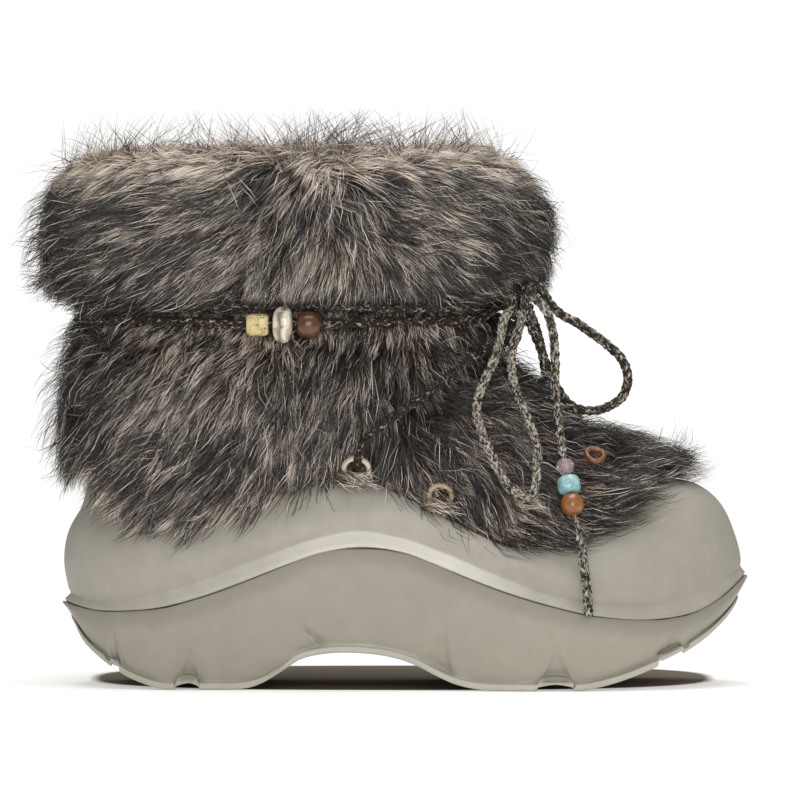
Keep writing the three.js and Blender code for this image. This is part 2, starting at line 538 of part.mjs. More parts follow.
function makeEnds() {
  const pink = finish(0xe8c9d2, 0.1);
  const turquoise = finish(0x7fb9bd, 0.3);
  const wood = finish(0x7d431f, 0.3);
  const teal = finish(0x2f5563, 0.25);
  const slope = [0.17, -0.41, -0.9];
  beadedEnd('lace_end_near', {
    cord: at(
      [52.9, -28.6, 163.3], [56.2, -30.6, 161.2], [59.8, -31.4, 156], [62, -32, 148], [62.8, -32.4, 139],
      [62.8, -32.6, 124.5], [63.8, -32.8, 117], [64.7, -34.2, 108], [65.5, -36.2, 101.2],
      [66.25, -38.1, 96.8]),
    cordSteps: 10,
    thread: at(
      [66.4, -38.3, 96.3], [67, -39.9, 92.8], [68.5, -43.6, 85.3], [69.9, -47.2, 77.4], [71.3, -50.8, 71],
      [72.6, -53.5, 65]),
    threadSteps: 10,
    tip: at([72.8, -54, 64.2], [74, -56.5, 56], [75.3, -58.6, 47], [76.1, -60.4, 38], [76.5, -61, 31.8]),
    tipSteps: 4,
    beads: [
      { bead: 'bead_crystal', place: [67, -39.9, 92.8], along: slope, wide: 8.2, long: 7.2, look: pink },
      { bead: 'bead_turquoise', place: [68.5, -43.6, 85.3], along: slope, wide: 9.6, long: 7.6, look: turquoise },
      { bead: 'bead_wood', place: [69.9, -47.2, 77.4], along: slope, wide: 9.4, long: 8.8, look: wood },
    ],
  });
  const fall = [0.12, 0.4, -0.9];
  beadedEnd('lace_end_far', {
    cord: at(
      [50, -18.3, 158.2], [52.6, -13, 156], [55, -7, 150], [57.2, -1.5, 142], [58.6, 3, 134.4],
      [59.3, 5.3, 129.6]),
    cordSteps: 5,
    thread: at([59.35, 5.5, 129.1], [59.9, 7.6, 124.6], [60.6, 9.8, 119.8], [61.3, 11.6, 117.4]),
    threadSteps: 6,
    tip: at([61.6, 12.2, 116.8], [65, 16, 115], [69.5, 20, 112.9], [74, 24, 110.7]),
    tipSteps: 3,
    beads: [
      { bead: 'bead_teal', place: [59.9, 7.6, 124.6], along: fall, wide: 9, long: 8, look: teal },
    ],
  });
}

makeSole();
makeShell();
makeUpper();
makeInsole();
makeWrap();
makeSideLaces();
makeRings();
makeBow();
makeEnds();

boot.position.set(-ORIGIN.x, -ORIGIN.y, 0);
export default boot;
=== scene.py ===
# %% [markdown]
# # A snow boot: moulded foam, deep faux fur, and a braided lace with beads
# The frame holds the boot's plain solids at their true size. This lesson dresses them: the foam gets
# rounded edges and a satin skin, the upper gets a pile of single strands, and the lace is braided yarn by
# yarn. Lengths are written in millimetres and turned to metres by one factor.

# %% Load the fixed frame
import math

import bmesh
import bpy
import numpy as np
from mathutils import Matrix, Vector, bvhtree, kdtree


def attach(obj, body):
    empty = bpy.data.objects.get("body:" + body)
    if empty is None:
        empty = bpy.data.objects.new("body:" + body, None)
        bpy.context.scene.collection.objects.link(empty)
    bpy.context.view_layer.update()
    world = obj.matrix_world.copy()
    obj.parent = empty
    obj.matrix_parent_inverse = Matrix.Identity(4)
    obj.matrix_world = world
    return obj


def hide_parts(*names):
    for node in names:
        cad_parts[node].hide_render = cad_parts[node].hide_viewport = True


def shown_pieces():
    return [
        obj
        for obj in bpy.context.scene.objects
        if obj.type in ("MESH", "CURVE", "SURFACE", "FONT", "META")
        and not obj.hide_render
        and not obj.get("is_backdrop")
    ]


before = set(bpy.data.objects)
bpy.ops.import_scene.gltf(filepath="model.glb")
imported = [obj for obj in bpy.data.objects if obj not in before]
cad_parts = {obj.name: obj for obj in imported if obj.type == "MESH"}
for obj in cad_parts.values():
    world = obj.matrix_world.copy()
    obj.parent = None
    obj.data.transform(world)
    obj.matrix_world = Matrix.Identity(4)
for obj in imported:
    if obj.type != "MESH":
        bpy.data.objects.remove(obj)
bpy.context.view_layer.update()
MM = 0.001
LAST_TO_FRAME = np.array([4.65, 0.25, 0.0])  # the last's own frame sits this far off the boot's middle, mm


# %% [markdown]
# The camera stands level with the boot's outer side, far off with a long lens, so the boot shows almost
# without perspective. It is tipped down by a few degrees, which lets the floor show under the arch.

# %% Camera
VIEW_WIDTH = 336.4 * MM  # what the frame takes in, across the boot
CAMERA_AWAY = 5.0
CAMERA_TIP = math.radians(2.0)
LOOK_AT = Vector((4.2, -20, 118.6)) * MM

bpy.ops.object.camera_add(location=LOOK_AT + CAMERA_AWAY * Vector((0, -math.cos(CAMERA_TIP), math.sin(CAMERA_TIP))))
camera = bpy.context.object
camera.rotation_euler = (LOOK_AT - camera.location).to_track_quat("-Z", "Y").to_euler()
camera.data.lens = camera.data.sensor_width * CAMERA_AWAY / VIEW_WIDTH
bpy.context.scene.camera = camera
print("lens", round(camera.data.lens))


# %% [markdown]
# Materials are small node trees, built in code so that each number has a name. One function turns a hex
# colour to linear, and one adds a node with its settings and links. Patterns are sized in real millimetres.

# %% Colour and node helpers
def linear(hex_colour):
    parts = [int(hex_colour[k:k + 2], 16) / 255 for k in (1, 3, 5)]
    return tuple(((c + 0.055) / 1.055) ** 2.4 if c > 0.04045 else c / 12.92 for c in parts) + (1.0,)


def add(tree, kind, links=None, stops=(), **settings):
    """Adds a node. links maps a socket to a value, a hex colour or another node's output, and stops are the
    places and hex colours of a colour ramp."""
    made = tree.nodes.new(kind)
    for key, value in settings.items():
        setattr(made, key, value)
    for key, value in (links or {}).items():
        if isinstance(value, bpy.types.NodeSocket):
            tree.links.new(value, made.inputs[key])
        else:
            made.inputs[key].default_value = linear(value) if isinstance(value, str) else value
    if stops:
        keys = made.color_ramp.elements
        while len(keys) < len(stops):
            keys.new(0.5)
        for key, (place, colour) in zip(keys, stops):
            key.position = place
            key.color = linear(colour)
    return made


def into(tree, shader, **outputs):
    """Links outputs into a shader's sockets; a socket's name is written with underscores."""
    for key, output in outputs.items():
        tree.links.new(output, shader.inputs[key.replace("_", " ")])


def new_material(name, roughness, **sockets):
    """A Principled material; returns it with its tree and shader."""
    made = bpy.data.materials.new(name)
    made.use_nodes = True
    shader = made.node_tree.nodes["Principled BSDF"]
    shader.inputs["Roughness"].default_value = roughness
    for key, value in sockets.items():
        shader.inputs[key.replace("_", " ")].default_value = value
    return made, made.node_tree, shader


MIX_LOW, MIX_HIGH, MIX_OUT = 6, 7, 2  # a Mix node's sockets for colours


def mottling(tree, size_mm, detail=2.0, roughness=0.5):
    """An uneven field over the piece; its spots are about size_mm across."""
    place = add(tree, "ShaderNodeTexCoord").outputs["Object"]
    return add(tree, "ShaderNodeTexNoise", {
        "Vector": place, "Scale": 1 / (size_mm * MM), "Detail": detail, "Roughness": roughness}).outputs["Fac"]


print("mid grey in linear light", round(linear("#808080")[0], 3))


# %% [markdown]
# A cord's route is a list of given points, in the last's frame. A centripetal Catmull-Rom curve
# runs through them, and it is walked in even steps.

# %% Routes of the lace
def smooth_line(points, step):
    """Even points, about step apart, along a centripetal Catmull-Rom curve through points."""
    p = np.asarray(points, float)
    p = np.vstack([2 * p[0] - p[1], p, 2 * p[-1] - p[-2]])
    dense = []
    for k in range(1, len(p) - 2):
        knots = [0.0]
        for a in range(k - 1, k + 2):
            knots.append(knots[-1] + math.sqrt(np.linalg.norm(p[a + 1] - p[a])))
        t = np.linspace(knots[1], knots[2], 24, endpoint=False)[:, None]
        level = p[k - 1:k + 3]
        for first, gap in ((0, 1), (0, 2), (1, 1)):  # the three rounds of blending between pairs of knots
            spans = [(knots[first + j], knots[first + j + gap]) for j in range(len(level) - 1)]
            level = [(b - t) / (b - a) * level[j] + (t - a) / (b - a) * level[j + 1] for j, (a, b) in enumerate(spans)]
        dense.append(level[0])
    dense = np.vstack(dense + [p[-2][None]])
    run = np.concatenate([[0], np.cumsum(np.linalg.norm(np.diff(dense, axis=0), axis=1))])
    even = np.linspace(0, run[-1], max(int(round(run[-1] / step)), 2) + 1)
    return np.stack([np.interp(even, run, dense[:, k]) for k in range(3)], axis=1)


KNOT = (46.5, -24.0, 160.5)
ROUTES = {
    "bow_loop_side": [
        (48.6, -24.6, 163.4), (51.7, -24.8, 167.2), (54.5, -25.4, 168.4), (58, -26, 165.2), (61, -26.4, 160),
        (65.5, -26.6, 155.8), (72, -26.6, 152.2), (79, -26.4, 147.4), (85.8, -26, 142.2), (90.7, -25, 137),
        (93.1, -24, 131.5), (93.1, -22.5, 126.5), (90.9, -21, 121), (85.8, -19.5, 117.3), (80, -18, 115.4),
        (74, -16.8, 115.6), (68.8, -15.8, 118.2), (64.6, -15.2, 123.5), (61, -15.4, 131), (57.8, -16.2, 139),
        (54.6, -17.8, 147), (51.2, -21, 154), (49, -22.6, 157.4)],
    "bow_loop_hanging": [
        (45.2, -27.4, 159), (43.8, -30.6, 157.4), (41.6, -34.4, 154.2), (40.4, -36, 148), (37.8, -37, 138),
        (34.3, -39.4, 130.5), (31, -43, 122.5), (30.1, -46, 116.5), (31.5, -48.4, 109.5), (34.4, -49.8, 102.4),
        (37.7, -51, 95), (40.9, -52, 88.5), (44.3, -52.2, 83.6), (48.3, -52, 81.2), (52, -51, 81.4),
        (54.6, -49, 84.8), (54.9, -47, 90), (55.3, -43.6, 97), (54.2, -40, 104.5), (51.3, -37.5, 112.5),
        (48.5, -35.8, 119.5), (45.8, -34, 127), (44.6, -32.2, 134.5), (45.2, -31.2, 142), (47.2, -30.8, 148.6),
        (49, -29.4, 153.2), (48.2, -27.4, 156.6)],
    "lace_end_near": [
        (49.6, -26.4, 162.4), (52.9, -28.6, 163.3), (56.2, -30.6, 161.2), (59.8, -31.4, 156), (62, -32, 148),
        (62.8, -32.4, 139), (62.8, -32.6, 124.5), (63.8, -32.8, 117), (64.7, -34.2, 108), (65.5, -36.2, 101.2),
        (66.25, -38.1, 96.8), (67, -39.9, 92.8), (68.5, -43.6, 85.3), (69.9, -47.2, 77.4), (71.3, -50.8, 71),
        (72.6, -53.5, 65), (74, -56.5, 56), (75.3, -58.6, 47), (76.1, -60.4, 38), (76.5, -61, 31.8)],
    "lace_end_far": [
        (48.6, -21, 159.2), (50, -18.3, 158.2), (52.6, -13, 156), (55, -7, 150), (57.2, -1.5, 142),
        (58.6, 3, 134.4), (59.3, 5.3, 129.6), (59.9, 7.6, 124.6), (60.6, 9.8, 119.8), (61.6, 12.2, 116.8),
        (65, 16, 115), (69.5, 20, 112.9), (74, 24, 110.7)],
}
SIDE_LACES = {
    "lace_side_lateral": [
        (44.5, -25, 153), (42.5, -26, 147.5), (35, -28.6, 142), (27, -38.3, 137), (18, -45.1, 130),
        (9.5, -52.5, 124), (1.1, -56.5, 117.8), (-7, -57.4, 112.3), (-13, -56.5, 107.5), (-17, -54.4, 102),
        (-19, -51.4, 96.6), (-19.8, -48, 93.5), (-20.4, -44.6, 91.8)],
    "lace_side_medial": [
        (48, -18, 152), (47.6, -12, 148.6), (47, -6, 146), (46.8, 8, 144.5), (43.6, 22, 143), (36, 31.4, 140.6),
        (27, 40.4, 136), (18, 46.4, 130), (9.5, 52.6, 124), (1.1, 56.6, 117.8), (-7, 57.5, 112.3),
        (-13, 56.4, 107.5), (-17, 54.6, 102), (-19, 51.4, 96.6), (-19.8, 47.8, 93.5), (-20.4, 44.2, 91.8)],
}
print("routes", {name: len(points) for name, points in {**ROUTES, **SIDE_LACES}.items()})


# %% [markdown]
# The braid is eight yarns: four wind one way round the cord and four the other way, and they pass over and
# under each other at every crossing. Each yarn is its own thin tube, all of a cord's yarns are one mesh, and
# every vertex keeps its place along the yarn and its yarn's number, from which the colours come.

# %% Braided cord
BRAID = {"turn": 16.0, "ways": 4, "yarn": 0.74, "ride": 1.25, "wave": 0.28, "sides": 4, "step": 1.1}


def frames_along(line):
    """Tangent, side and up at every point of a line, carried along it without twist."""
    tangent = np.gradient(line, axis=0)
    tangent /= np.linalg.norm(tangent, axis=1)[:, None]
    side = np.zeros_like(line)
    first = np.cross(tangent[0], [0.3, 0.2, 1.0])
    side[0] = first / np.linalg.norm(first)
    for k in range(1, len(line)):
        carried = side[k - 1] - tangent[k] * np.dot(side[k - 1], tangent[k])
        side[k] = carried / np.linalg.norm(carried)
    return tangent, side, np.cross(tangent, side)


def tube(line, radius, sides):
    """Rings of points round a line; radius may change along it."""
    _, side, up = frames_along(line)
    turn = np.arange(sides) * 2 * math.pi / sides
    radius = np.broadcast_to(radius, len(line))[:, None, None]
    ring = np.cos(turn)[None, :, None] * side[:, None] + np.sin(turn)[None, :, None] * up[:, None]
    return line[:, None] + radius * ring


def grid_quads(rows, columns, closed=True):
    """Quads over a grid of points whose rows run round; where closed, its last row joins its first."""
    row, column = np.meshgrid(np.arange(rows if closed else rows - 1), np.arange(columns), indexing="ij")
    next_row, next_column = (row + 1) % rows, (column + 1) % columns
    return np.stack([row * columns + column, next_row * columns + column, next_row * columns + next_column,
                     row * columns + next_column], axis=-1).reshape(-1, 4)


NO_TRIS = np.zeros((0, 3), int)


def mesh_from_arrays(name, verts, quads, tris, material, attribute=None, uv=None):
    """A mesh object from arrays in millimetres; attribute is three numbers for each vertex."""
    mesh = bpy.data.meshes.new(name)
    mesh.vertices.add(len(verts))
    mesh.vertices.foreach_set("co", (verts * MM).astype(np.float32).ravel())
    loops = np.concatenate([quads.ravel(), tris.ravel()]).astype(np.int32)
    sizes = np.concatenate([np.full(len(quads), 4), np.full(len(tris), 3)])
    mesh.loops.add(len(loops))
    mesh.loops.foreach_set("vertex_index", loops)
    mesh.polygons.add(len(sizes))
    mesh.polygons.foreach_set("loop_start", np.concatenate([[0], np.cumsum(sizes)[:-1]]).astype(np.int32))
    mesh.polygons.foreach_set("use_smooth", np.ones(len(sizes), bool))
    mesh.update(calc_edges=True)
    if attribute is not None:
        data = mesh.attributes.new("strand", "FLOAT_VECTOR", "POINT").data
        data.foreach_set("vector", attribute.astype(np.float32).ravel())
    if uv is not None:
        layer = mesh.uv_layers.new(name="OFBake")
        layer.data.foreach_set("uv", uv[loops].astype(np.float32).ravel())
    mesh.materials.append(material)
    made = bpy.data.objects.new(name, mesh)
    bpy.context.collection.objects.link(made)
    return made


def braided(name, line, material, width=None, pale=0.35):
    """A braided cord along an even line in mm; width scales it along its length."""
    width = np.ones(len(line)) if width is None else width
    _, side, up = frames_along(line)
    along = np.concatenate([[0], np.cumsum(np.linalg.norm(np.diff(line, axis=0), axis=1))])
    sides, count, ways = BRAID["sides"], len(line), BRAID["ways"]
    wall = grid_quads(count, sides, closed=False)
    last = (count - 1) * sides
    caps = np.array([[0, m + 1, m] for m in range(1, sides - 1)]
                    + [[last, last + m, last + m + 1] for m in range(1, sides - 1)])
    verts, quads, tris, marks, places = [], [], [], [], []
    for number in range(2 * ways):
        way = 1 if number < ways else -1
        angle = way * 2 * math.pi * along / BRAID["turn"] + 2 * math.pi * (number % ways) / ways
        crossing = np.cos(2 * ways * math.pi * along / BRAID["turn"])
        reach = (BRAID["ride"] + way * BRAID["wave"] * crossing) * width
        core = line + reach[:, None] * (np.cos(angle)[:, None] * side + np.sin(angle)[:, None] * up)
        verts.append(tube(core, BRAID["yarn"] * width, sides).reshape(-1, 3))
        quads.append(wall + number * count * sides)
        tris.append(caps + number * count * sides)
        around = np.tile(np.abs(np.arange(sides) / sides - 0.5), count) * 0.8
        marks.append(np.stack([np.repeat(along, sides), number + around, np.full(count * sides, pale)], axis=1))
        places.append(np.stack([np.repeat(along, sides) / along[-1], (number + around) / (2 * ways)], axis=1))
    return mesh_from_arrays(name, np.vstack(verts), np.vstack(quads), np.vstack(tris), material,
                            np.vstack(marks), np.vstack(places))


def braid_material():
    """Wool-blend braid: near-black brown yarns, with short flecks of cream fibre spun into them."""
    made, tree, shader = new_material("wool_blend_braid", 0.8, Specular_IOR_Level=0.2)
    mark = add(tree, "ShaderNodeAttribute", attribute_name="strand").outputs["Vector"]
    parts = add(tree, "ShaderNodeSeparateXYZ", {"Vector": mark}).outputs
    spun = add(tree, "ShaderNodeCombineXYZ", {"X": parts["X"], "Y": parts["Y"]}).outputs["Vector"]
    stretched = add(tree, "ShaderNodeMapping", {"Vector": spun, "Scale": (0.42, 4.3, 1.0)}).outputs["Vector"]
    runs = add(tree, "ShaderNodeTexNoise", {"Vector": stretched, "Scale": 1.0, "Detail": 3.0}).outputs["Fac"]
    lifted = add(tree, "ShaderNodeMath", {0: runs, 1: parts["Z"]}, operation="ADD").outputs[0]
    fleck = add(tree, "ShaderNodeMapRange", {"Value": lifted, "From Min": 0.86, "From Max": 1.02}).outputs["Result"]
    fibre = mottling(tree, 0.4, detail=3)
    dark = add(tree, "ShaderNodeValToRGB", {"Fac": fibre}, [(0.3, "#15110d"), (0.7, "#3f362d")]).outputs["Color"]
    cream = add(tree, "ShaderNodeValToRGB", {"Fac": fibre}, [(0.3, "#7f776a"), (0.7, "#d8d1c2")]).outputs["Color"]
    spun = add(tree, "ShaderNodeMix", {"Factor": fleck, MIX_LOW: dark, MIX_HIGH: cream}, data_type="RGBA")
    fuzz = add(tree, "ShaderNodeBump", {"Height": fibre, "Distance": 0.15 * MM, "Strength": 0.7})
    into(tree, shader, Base_Color=spun.outputs[MIX_OUT], Normal=fuzz.outputs["Normal"])
    return made


BRAID_LOOK = braid_material()


def frame_mm(points):
    return np.asarray(points, float) + LAST_TO_FRAME


def end_width(line, thin_from, thin_to):
    """Width along a lace end: thin where it carries its beads."""
    height = line[:, 2]
    inside = np.clip(np.minimum(height - thin_to, thin_from - height) / 1.5, 0, 1)
    return 1 - 0.55 * inside


PALE = {"bow_loop_side": 0.36, "bow_loop_hanging": 0.44, "lace_end_near": 0.4, "lace_end_far": 0.38}
cords = {}
for cord_name, points in ROUTES.items():
    path = smooth_line(frame_mm(points), BRAID["step"])
    widths = None
    if cord_name == "lace_end_near":
        widths = end_width(path, 98.0, 63.5)
    if cord_name == "lace_end_far":
        widths = end_width(path, 130.0, 117.0)
    cords[cord_name] = (braided(cord_name + "_braid", path, BRAID_LOOK, widths, pale=PALE[cord_name]), path)
    print(cord_name, "length mm", round((len(path) - 1) * np.linalg.norm(path[1] - path[0])))
for cord_name, points in SIDE_LACES.items():
    path = smooth_line(frame_mm(points), BRAID["step"])
    made = braided(cord_name + "_braid", path, BRAID_LOOK, pale=0.3)
    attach(made, "root")
    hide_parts(cord_name)


# %% [markdown]
# Many outlines of the boot are short tables: the shell's throat, the joint over the sole, and the top of the
# pale band. A straight line between rows would show as corners, and a plain spline would overshoot, so a
# monotone cubic runs through them.

# %% Curves from tables
def curve(table, x):
    """Monotone cubic through the table's (x, value) rows."""
    xs, ys = np.array([row[0] for row in table], float), np.array([row[1] for row in table], float)
    x = np.clip(np.asarray(x, float), xs[0], xs[-1])
    slope = np.diff(ys) / np.diff(xs)
    tangent = np.concatenate([[slope[0]], np.zeros(len(xs) - 2), [slope[-1]]])
    same = slope[:-1] * slope[1:] > 0
    with np.errstate(divide="ignore", invalid="ignore"):
        mean = 2 * slope[:-1] * slope[1:] / (slope[:-1] + slope[1:])
    tangent[1:-1] = np.where(same, mean, 0)
    k = np.clip(np.searchsorted(xs, x, side="right") - 1, 0, len(xs) - 2)
    width = xs[k + 1] - xs[k]
    t = (x - xs[k]) / width
    value = ys[k] + (ys[k + 1] - ys[k]) * t * t * (3 - 2 * t)
    return value + width * t * (1 - t) * ((1 - t) * tangent[k] - t * tangent[k + 1])


def smooth(t):
    t = np.clip(t, 0, 1)
    return t * t * (3 - 2 * t)


# Height of the shell's throat edge, of the joint over the sole and of the band's top, along the boot.
THROAT = [
    (-134, 92), (-120, 84), (-104, 73), (-88, 69.5), (-69, 74), (-52, 81), (-36, 87), (-22, 89.2), (-9, 84.6),
    (9, 75.6), (21, 67.8), (34, 61.8), (48, 59.6), (62, 59.8), (71, 62.2), (80, 67), (90, 75.6), (99, 84), (106, 86)]
JOINT = [
    (-143, 34.5), (-127, 31.6), (-105, 32.8), (-85, 37.8), (-52, 50.2), (-35, 56.8), (-18, 59.4), (-2, 57.6),
    (16, 50.6), (40, 41), (65, 33.6), (86, 29.3), (103, 28.5), (116, 29.8), (128, 33.9), (138, 40.6), (144, 46)]
BAND = [
    (-143, 38.6), (-127, 36.2), (-105, 39.6), (-85, 45.3), (-52, 57.8), (-35, 63.3), (-18, 65.9), (-2, 63.3),
    (16, 57.4), (40, 47.4), (65, 38.6), (86, 35.4), (103, 35), (116, 37), (128, 41), (138, 47), (144, 50.5)]
MIDDLE = [(-140, 0), (-15, 0), (20, 1), (55, 3), (110, 6)]
WAIST = {"back": -133, "front": 38.5, "widths": [(0, 48), (0.25, 48), (0.5, 52), (0.75, 50), (1, 50)]}
print("throat over the toes, mm", curve(THROAT, 48).round(1))


# %% [markdown]
# The wrap goes round the shaft's waist twice, under the fur that falls over it, and carries three beads on the
# outer side. Its route is worked out from the waist's own outline, so that it hugs the shaft. The knot could
# be a plain lump, but up close it is the cord itself, wound over and over, and it is made so.

# %% Wrap and knot
WRAP = {"start": -30, "end": -734, "upper": 158.9, "lower": 153.3, "out": 3.4, "from": -373, "to": -391}
BEADED = {"x": -50, "flat": 18, "ramp": 22, "out": 5.6, "drop": 0.9, "lift": 1.2}


def wrap_line(degrees):
    """Points of the wrap at angles from the front, in the last's frame."""
    def waist(angle):
        turn = np.arccos(np.cos(angle)) / math.pi
        x = WAIST["back"] + (WAIST["front"] - WAIST["back"]) * (1 + np.cos(angle)) / 2
        reach = curve(WAIST["widths"], turn) * np.sin(math.pi * turn) ** 0.82
        return np.stack([x, np.sign(np.sin(angle)) * reach + curve(MIDDLE, x) * 0.6, 0 * x], axis=1)
    angle = np.radians(degrees)
    here, step = waist(angle), waist(angle + 0.01) - waist(angle - 0.01)
    out = np.stack([step[:, 1], -step[:, 0], 0 * step[:, 0]], axis=1)
    out /= np.linalg.norm(out, axis=1)[:, None]
    drop = smooth((WRAP["from"] - degrees) / (WRAP["from"] - WRAP["to"]))
    from_beads = np.abs(here[:, 0] - BEADED["x"])
    beads = (np.sin(angle) < 0) * smooth((BEADED["flat"] + BEADED["ramp"] - from_beads) / BEADED["ramp"])
    lower, upper = (drop == 1) * beads, (drop == 0) * beads
    here[:, 2] = WRAP["upper"] + (WRAP["lower"] - WRAP["upper"]) * drop
    here[:, 2] += BEADED["lift"] * upper - BEADED["drop"] * lower
    return here + out * (WRAP["out"] + BEADED["out"] * lower)[:, None]


def even_line(points, step):
    run = np.concatenate([[0], np.cumsum(np.linalg.norm(np.diff(points, axis=0), axis=1))])
    even = np.linspace(0, run[-1], int(run[-1] / step) + 1)
    return np.stack([np.interp(even, run, points[:, k]) for k in range(3)], axis=1)


wrap_path = even_line(frame_mm(wrap_line(np.linspace(WRAP["start"], WRAP["end"], 1200))), BRAID["step"])
wrap = braided("wrap_braid", wrap_path, BRAID_LOOK, pale=0.32)
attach(wrap, "root")
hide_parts("lace_wrap")

KNOT_TURNS, KNOT_START = 2.6, 2.4
share = np.linspace(0, 1, 60)
wound = 2 * math.pi * KNOT_TURNS * share + KNOT_START
knot_points = frame_mm(KNOT) + np.stack([
    np.interp(share, [0, 0.12, 0.86, 1], [-1.5, -4.6, 4.4, 6.2]) + 0.8 * np.sin(12 * share),
    -0.6 + 4.4 * np.cos(wound), 5.9 * np.sin(wound)], axis=1)
knot_path = even_line(knot_points, BRAID["step"])
knot = braided("knot_braid", knot_path, BRAID_LOOK, pale=0.36)
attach(knot, "root")
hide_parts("knot")
print("wrap mm", round(len(wrap_path) * BRAID["step"]), "knot mm", round(len(knot_path) * BRAID["step"]))


# %% [markdown]
# A bead is turned or cut about its own bore. It could be a sphere with a hole cut in it, but the oval, the
# square and the cut bead would each need their own steps. One function makes them all instead: the
# cross-section is a superellipse, round or squarish, and the profile along the bore is another one.

# %% Shape of a bead
FACETED_BELOW = 14  # a bead with fewer turns than this is cut, so its faces stay flat


def bead(name, node, slot, material, place, along, wide, tall, long, bore=1.0, corners=2.0, belly=2.4, turns=40,
         rows=13, upright=(0, 0, 1)):
    """A drilled bead in millimetres at place; wide goes outwards and tall upwards, long goes along the bore."""
    along = np.array(along, float) / np.linalg.norm(along)
    side = np.cross(along, upright)
    side /= np.linalg.norm(side)
    up = np.cross(side, along)
    turn = np.arange(turns) * 2 * math.pi / turns
    cos, sin = np.cos(turn), np.sin(turn)
    round_out = (np.abs(cos) ** corners + np.abs(sin) ** corners) ** (-1 / corners)
    section = np.stack([cos * round_out, sin * round_out], axis=1)
    reach = np.sin(np.linspace(-1, 1, rows) * math.pi / 2)
    profile = [(long / 2 * t, (1 - abs(t) ** belly * 0.999) ** (1 / belly)) for t in reach]
    profile = [(-long / 2, 0.0), *profile, (long / 2, 0.0)]
    verts = []
    for where, size in profile:
        oval = bore + (np.array([wide, tall]) / 2 - bore) * size
        squareness = size ** 0.3
        across = (section * squareness + np.stack([cos, sin], axis=1) * (1 - squareness)) * oval
        verts.append(place + where * along + across[:, :1] * side + across[:, 1:] * up)
    made = mesh_from_arrays(name, np.vstack(verts), grid_quads(len(profile), turns), NO_TRIS, material)
    if turns < FACETED_BELOW:
        made.data.polygons.foreach_set("use_smooth", np.zeros(len(made.data.polygons), bool))
    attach(made, "root")
    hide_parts(node)
    return made


print("a bead with", FACETED_BELOW, "turns or more is polished round")


# %% [markdown]
# The beads are polished stone, lacquered wood, glazed ceramic and one cut crystal, and the rings are cast
# resin. Polish and lacquer are a clear coat over a mottled body, which gives the eye a sharp highlight over a
# soft colour. The stones' clouds and the wood's figure are a few millimetres across, as on real beads.

# %% Stone, wood and resin
def stone(name, roughness, size_mm, *stops, crack=None, **sockets):
    """A polished stone or resin: mottled by noise, with thin dark cracks where asked."""
    made, tree, shader = new_material(name, roughness, **sockets)
    mottled = mottling(tree, size_mm, 4, 0.6)
    colour = add(tree, "ShaderNodeValToRGB", {"Fac": mottled}, stops).outputs["Color"]
    if crack:
        lines = add(tree, "ShaderNodeMath", {0: mottling(tree, 6.5, 3, 0.6), 1: 0.5}, operation="SUBTRACT")
        lines = add(tree, "ShaderNodeMath", {0: lines.outputs[0]}, operation="ABSOLUTE").outputs[0]
        thin = add(tree, "ShaderNodeMapRange", {"Value": lines, "From Min": 0.002, "From Max": 0.014}).outputs["Result"]
        veined = add(tree, "ShaderNodeMix", {"Factor": thin, MIX_LOW: crack, MIX_HIGH: colour}, data_type="RGBA")
        colour = veined.outputs[MIX_OUT]
    into(tree, shader, Base_Color=colour)
    return made


def banded(name, roughness, axis, size_mm, wander, *stops, **sockets):
    """Bands across a bead, along the given axis of the boot; wander bends them."""
    made, tree, shader = new_material(name, roughness, **sockets)
    place = add(tree, "ShaderNodeTexCoord").outputs["Object"]
    wave = add(tree, "ShaderNodeTexWave", {
        "Vector": place, "Scale": 1 / (size_mm * MM * 3.2), "Distortion": wander, "Detail": 2.0, "Detail Scale": 1.5},
        bands_direction=axis).outputs["Fac"]
    into(tree, shader, Base_Color=add(tree, "ShaderNodeValToRGB", {"Fac": wave}, stops).outputs["Color"])
    return made


CREAM_RESIN = stone("cream_resin", 0.3, 6, (0.3, "#b9ad95"), (0.7, "#d8cfba"), Coat_Weight=0.4)
SAND_RESIN = stone("sand_resin", 0.35, 6, (0.3, "#9a8565"), (0.7, "#bda886"), Coat_Weight=0.3)
BROWN_RESIN = stone("brown_resin", 0.3, 5, (0.3, "#5d3520"), (0.7, "#8f5a38"), Coat_Weight=0.4)
YELLOW_STONE = stone("pale_yellow_stone", 0.32, 5, (0.3, "#b5a060"), (0.55, "#cdbb7f"), (0.8, "#dccf9f"),
                     crack="#5a4a26", Coat_Weight=0.4)
STRIPED_GLAZE = banded("striped_glaze", 0.1, "X", 5.2, 7.0, (0.05, "#77705f"), (0.35, "#a79c85"),
                       (0.55, "#b59a66"), (0.85, "#d9d3c6"), Coat_Weight=0.8, IOR=1.5)
DARK_WOOD = stone("lacquered_dark_wood", 0.3, 7, (0.3, "#432410"), (0.55, "#5f371a"), (0.8, "#764a27"),
                  Coat_Weight=0.35, Coat_Roughness=0.15)
BROWN_WOOD = stone("lacquered_brown_wood", 0.3, 6, (0.3, "#74400f"), (0.55, "#945a20"), (0.8, "#aa7033"),
                   Coat_Weight=0.6, Coat_Roughness=0.2)
TURQUOISE = stone("turquoise_stone", 0.25, 2.2, (0.25, "#5c979a"), (0.5, "#8bb9bb"), (0.75, "#c6d8d5"),
                  Coat_Weight=0.6)
TEAL_STONE = stone("teal_stone", 0.22, 3, (0.3, "#16323f"), (0.7, "#315f6c"), Coat_Weight=0.6)
PINK_CRYSTAL, _, _ = new_material("pink_crystal", 0.04, Base_Color=linear("#f3d9dd"), Transmission_Weight=0.75,
                                  IOR=1.52)

print("bead looks", [look.name for look in (YELLOW_STONE, STRIPED_GLAZE, DARK_WOOD, BROWN_WOOD, TURQUOISE)])


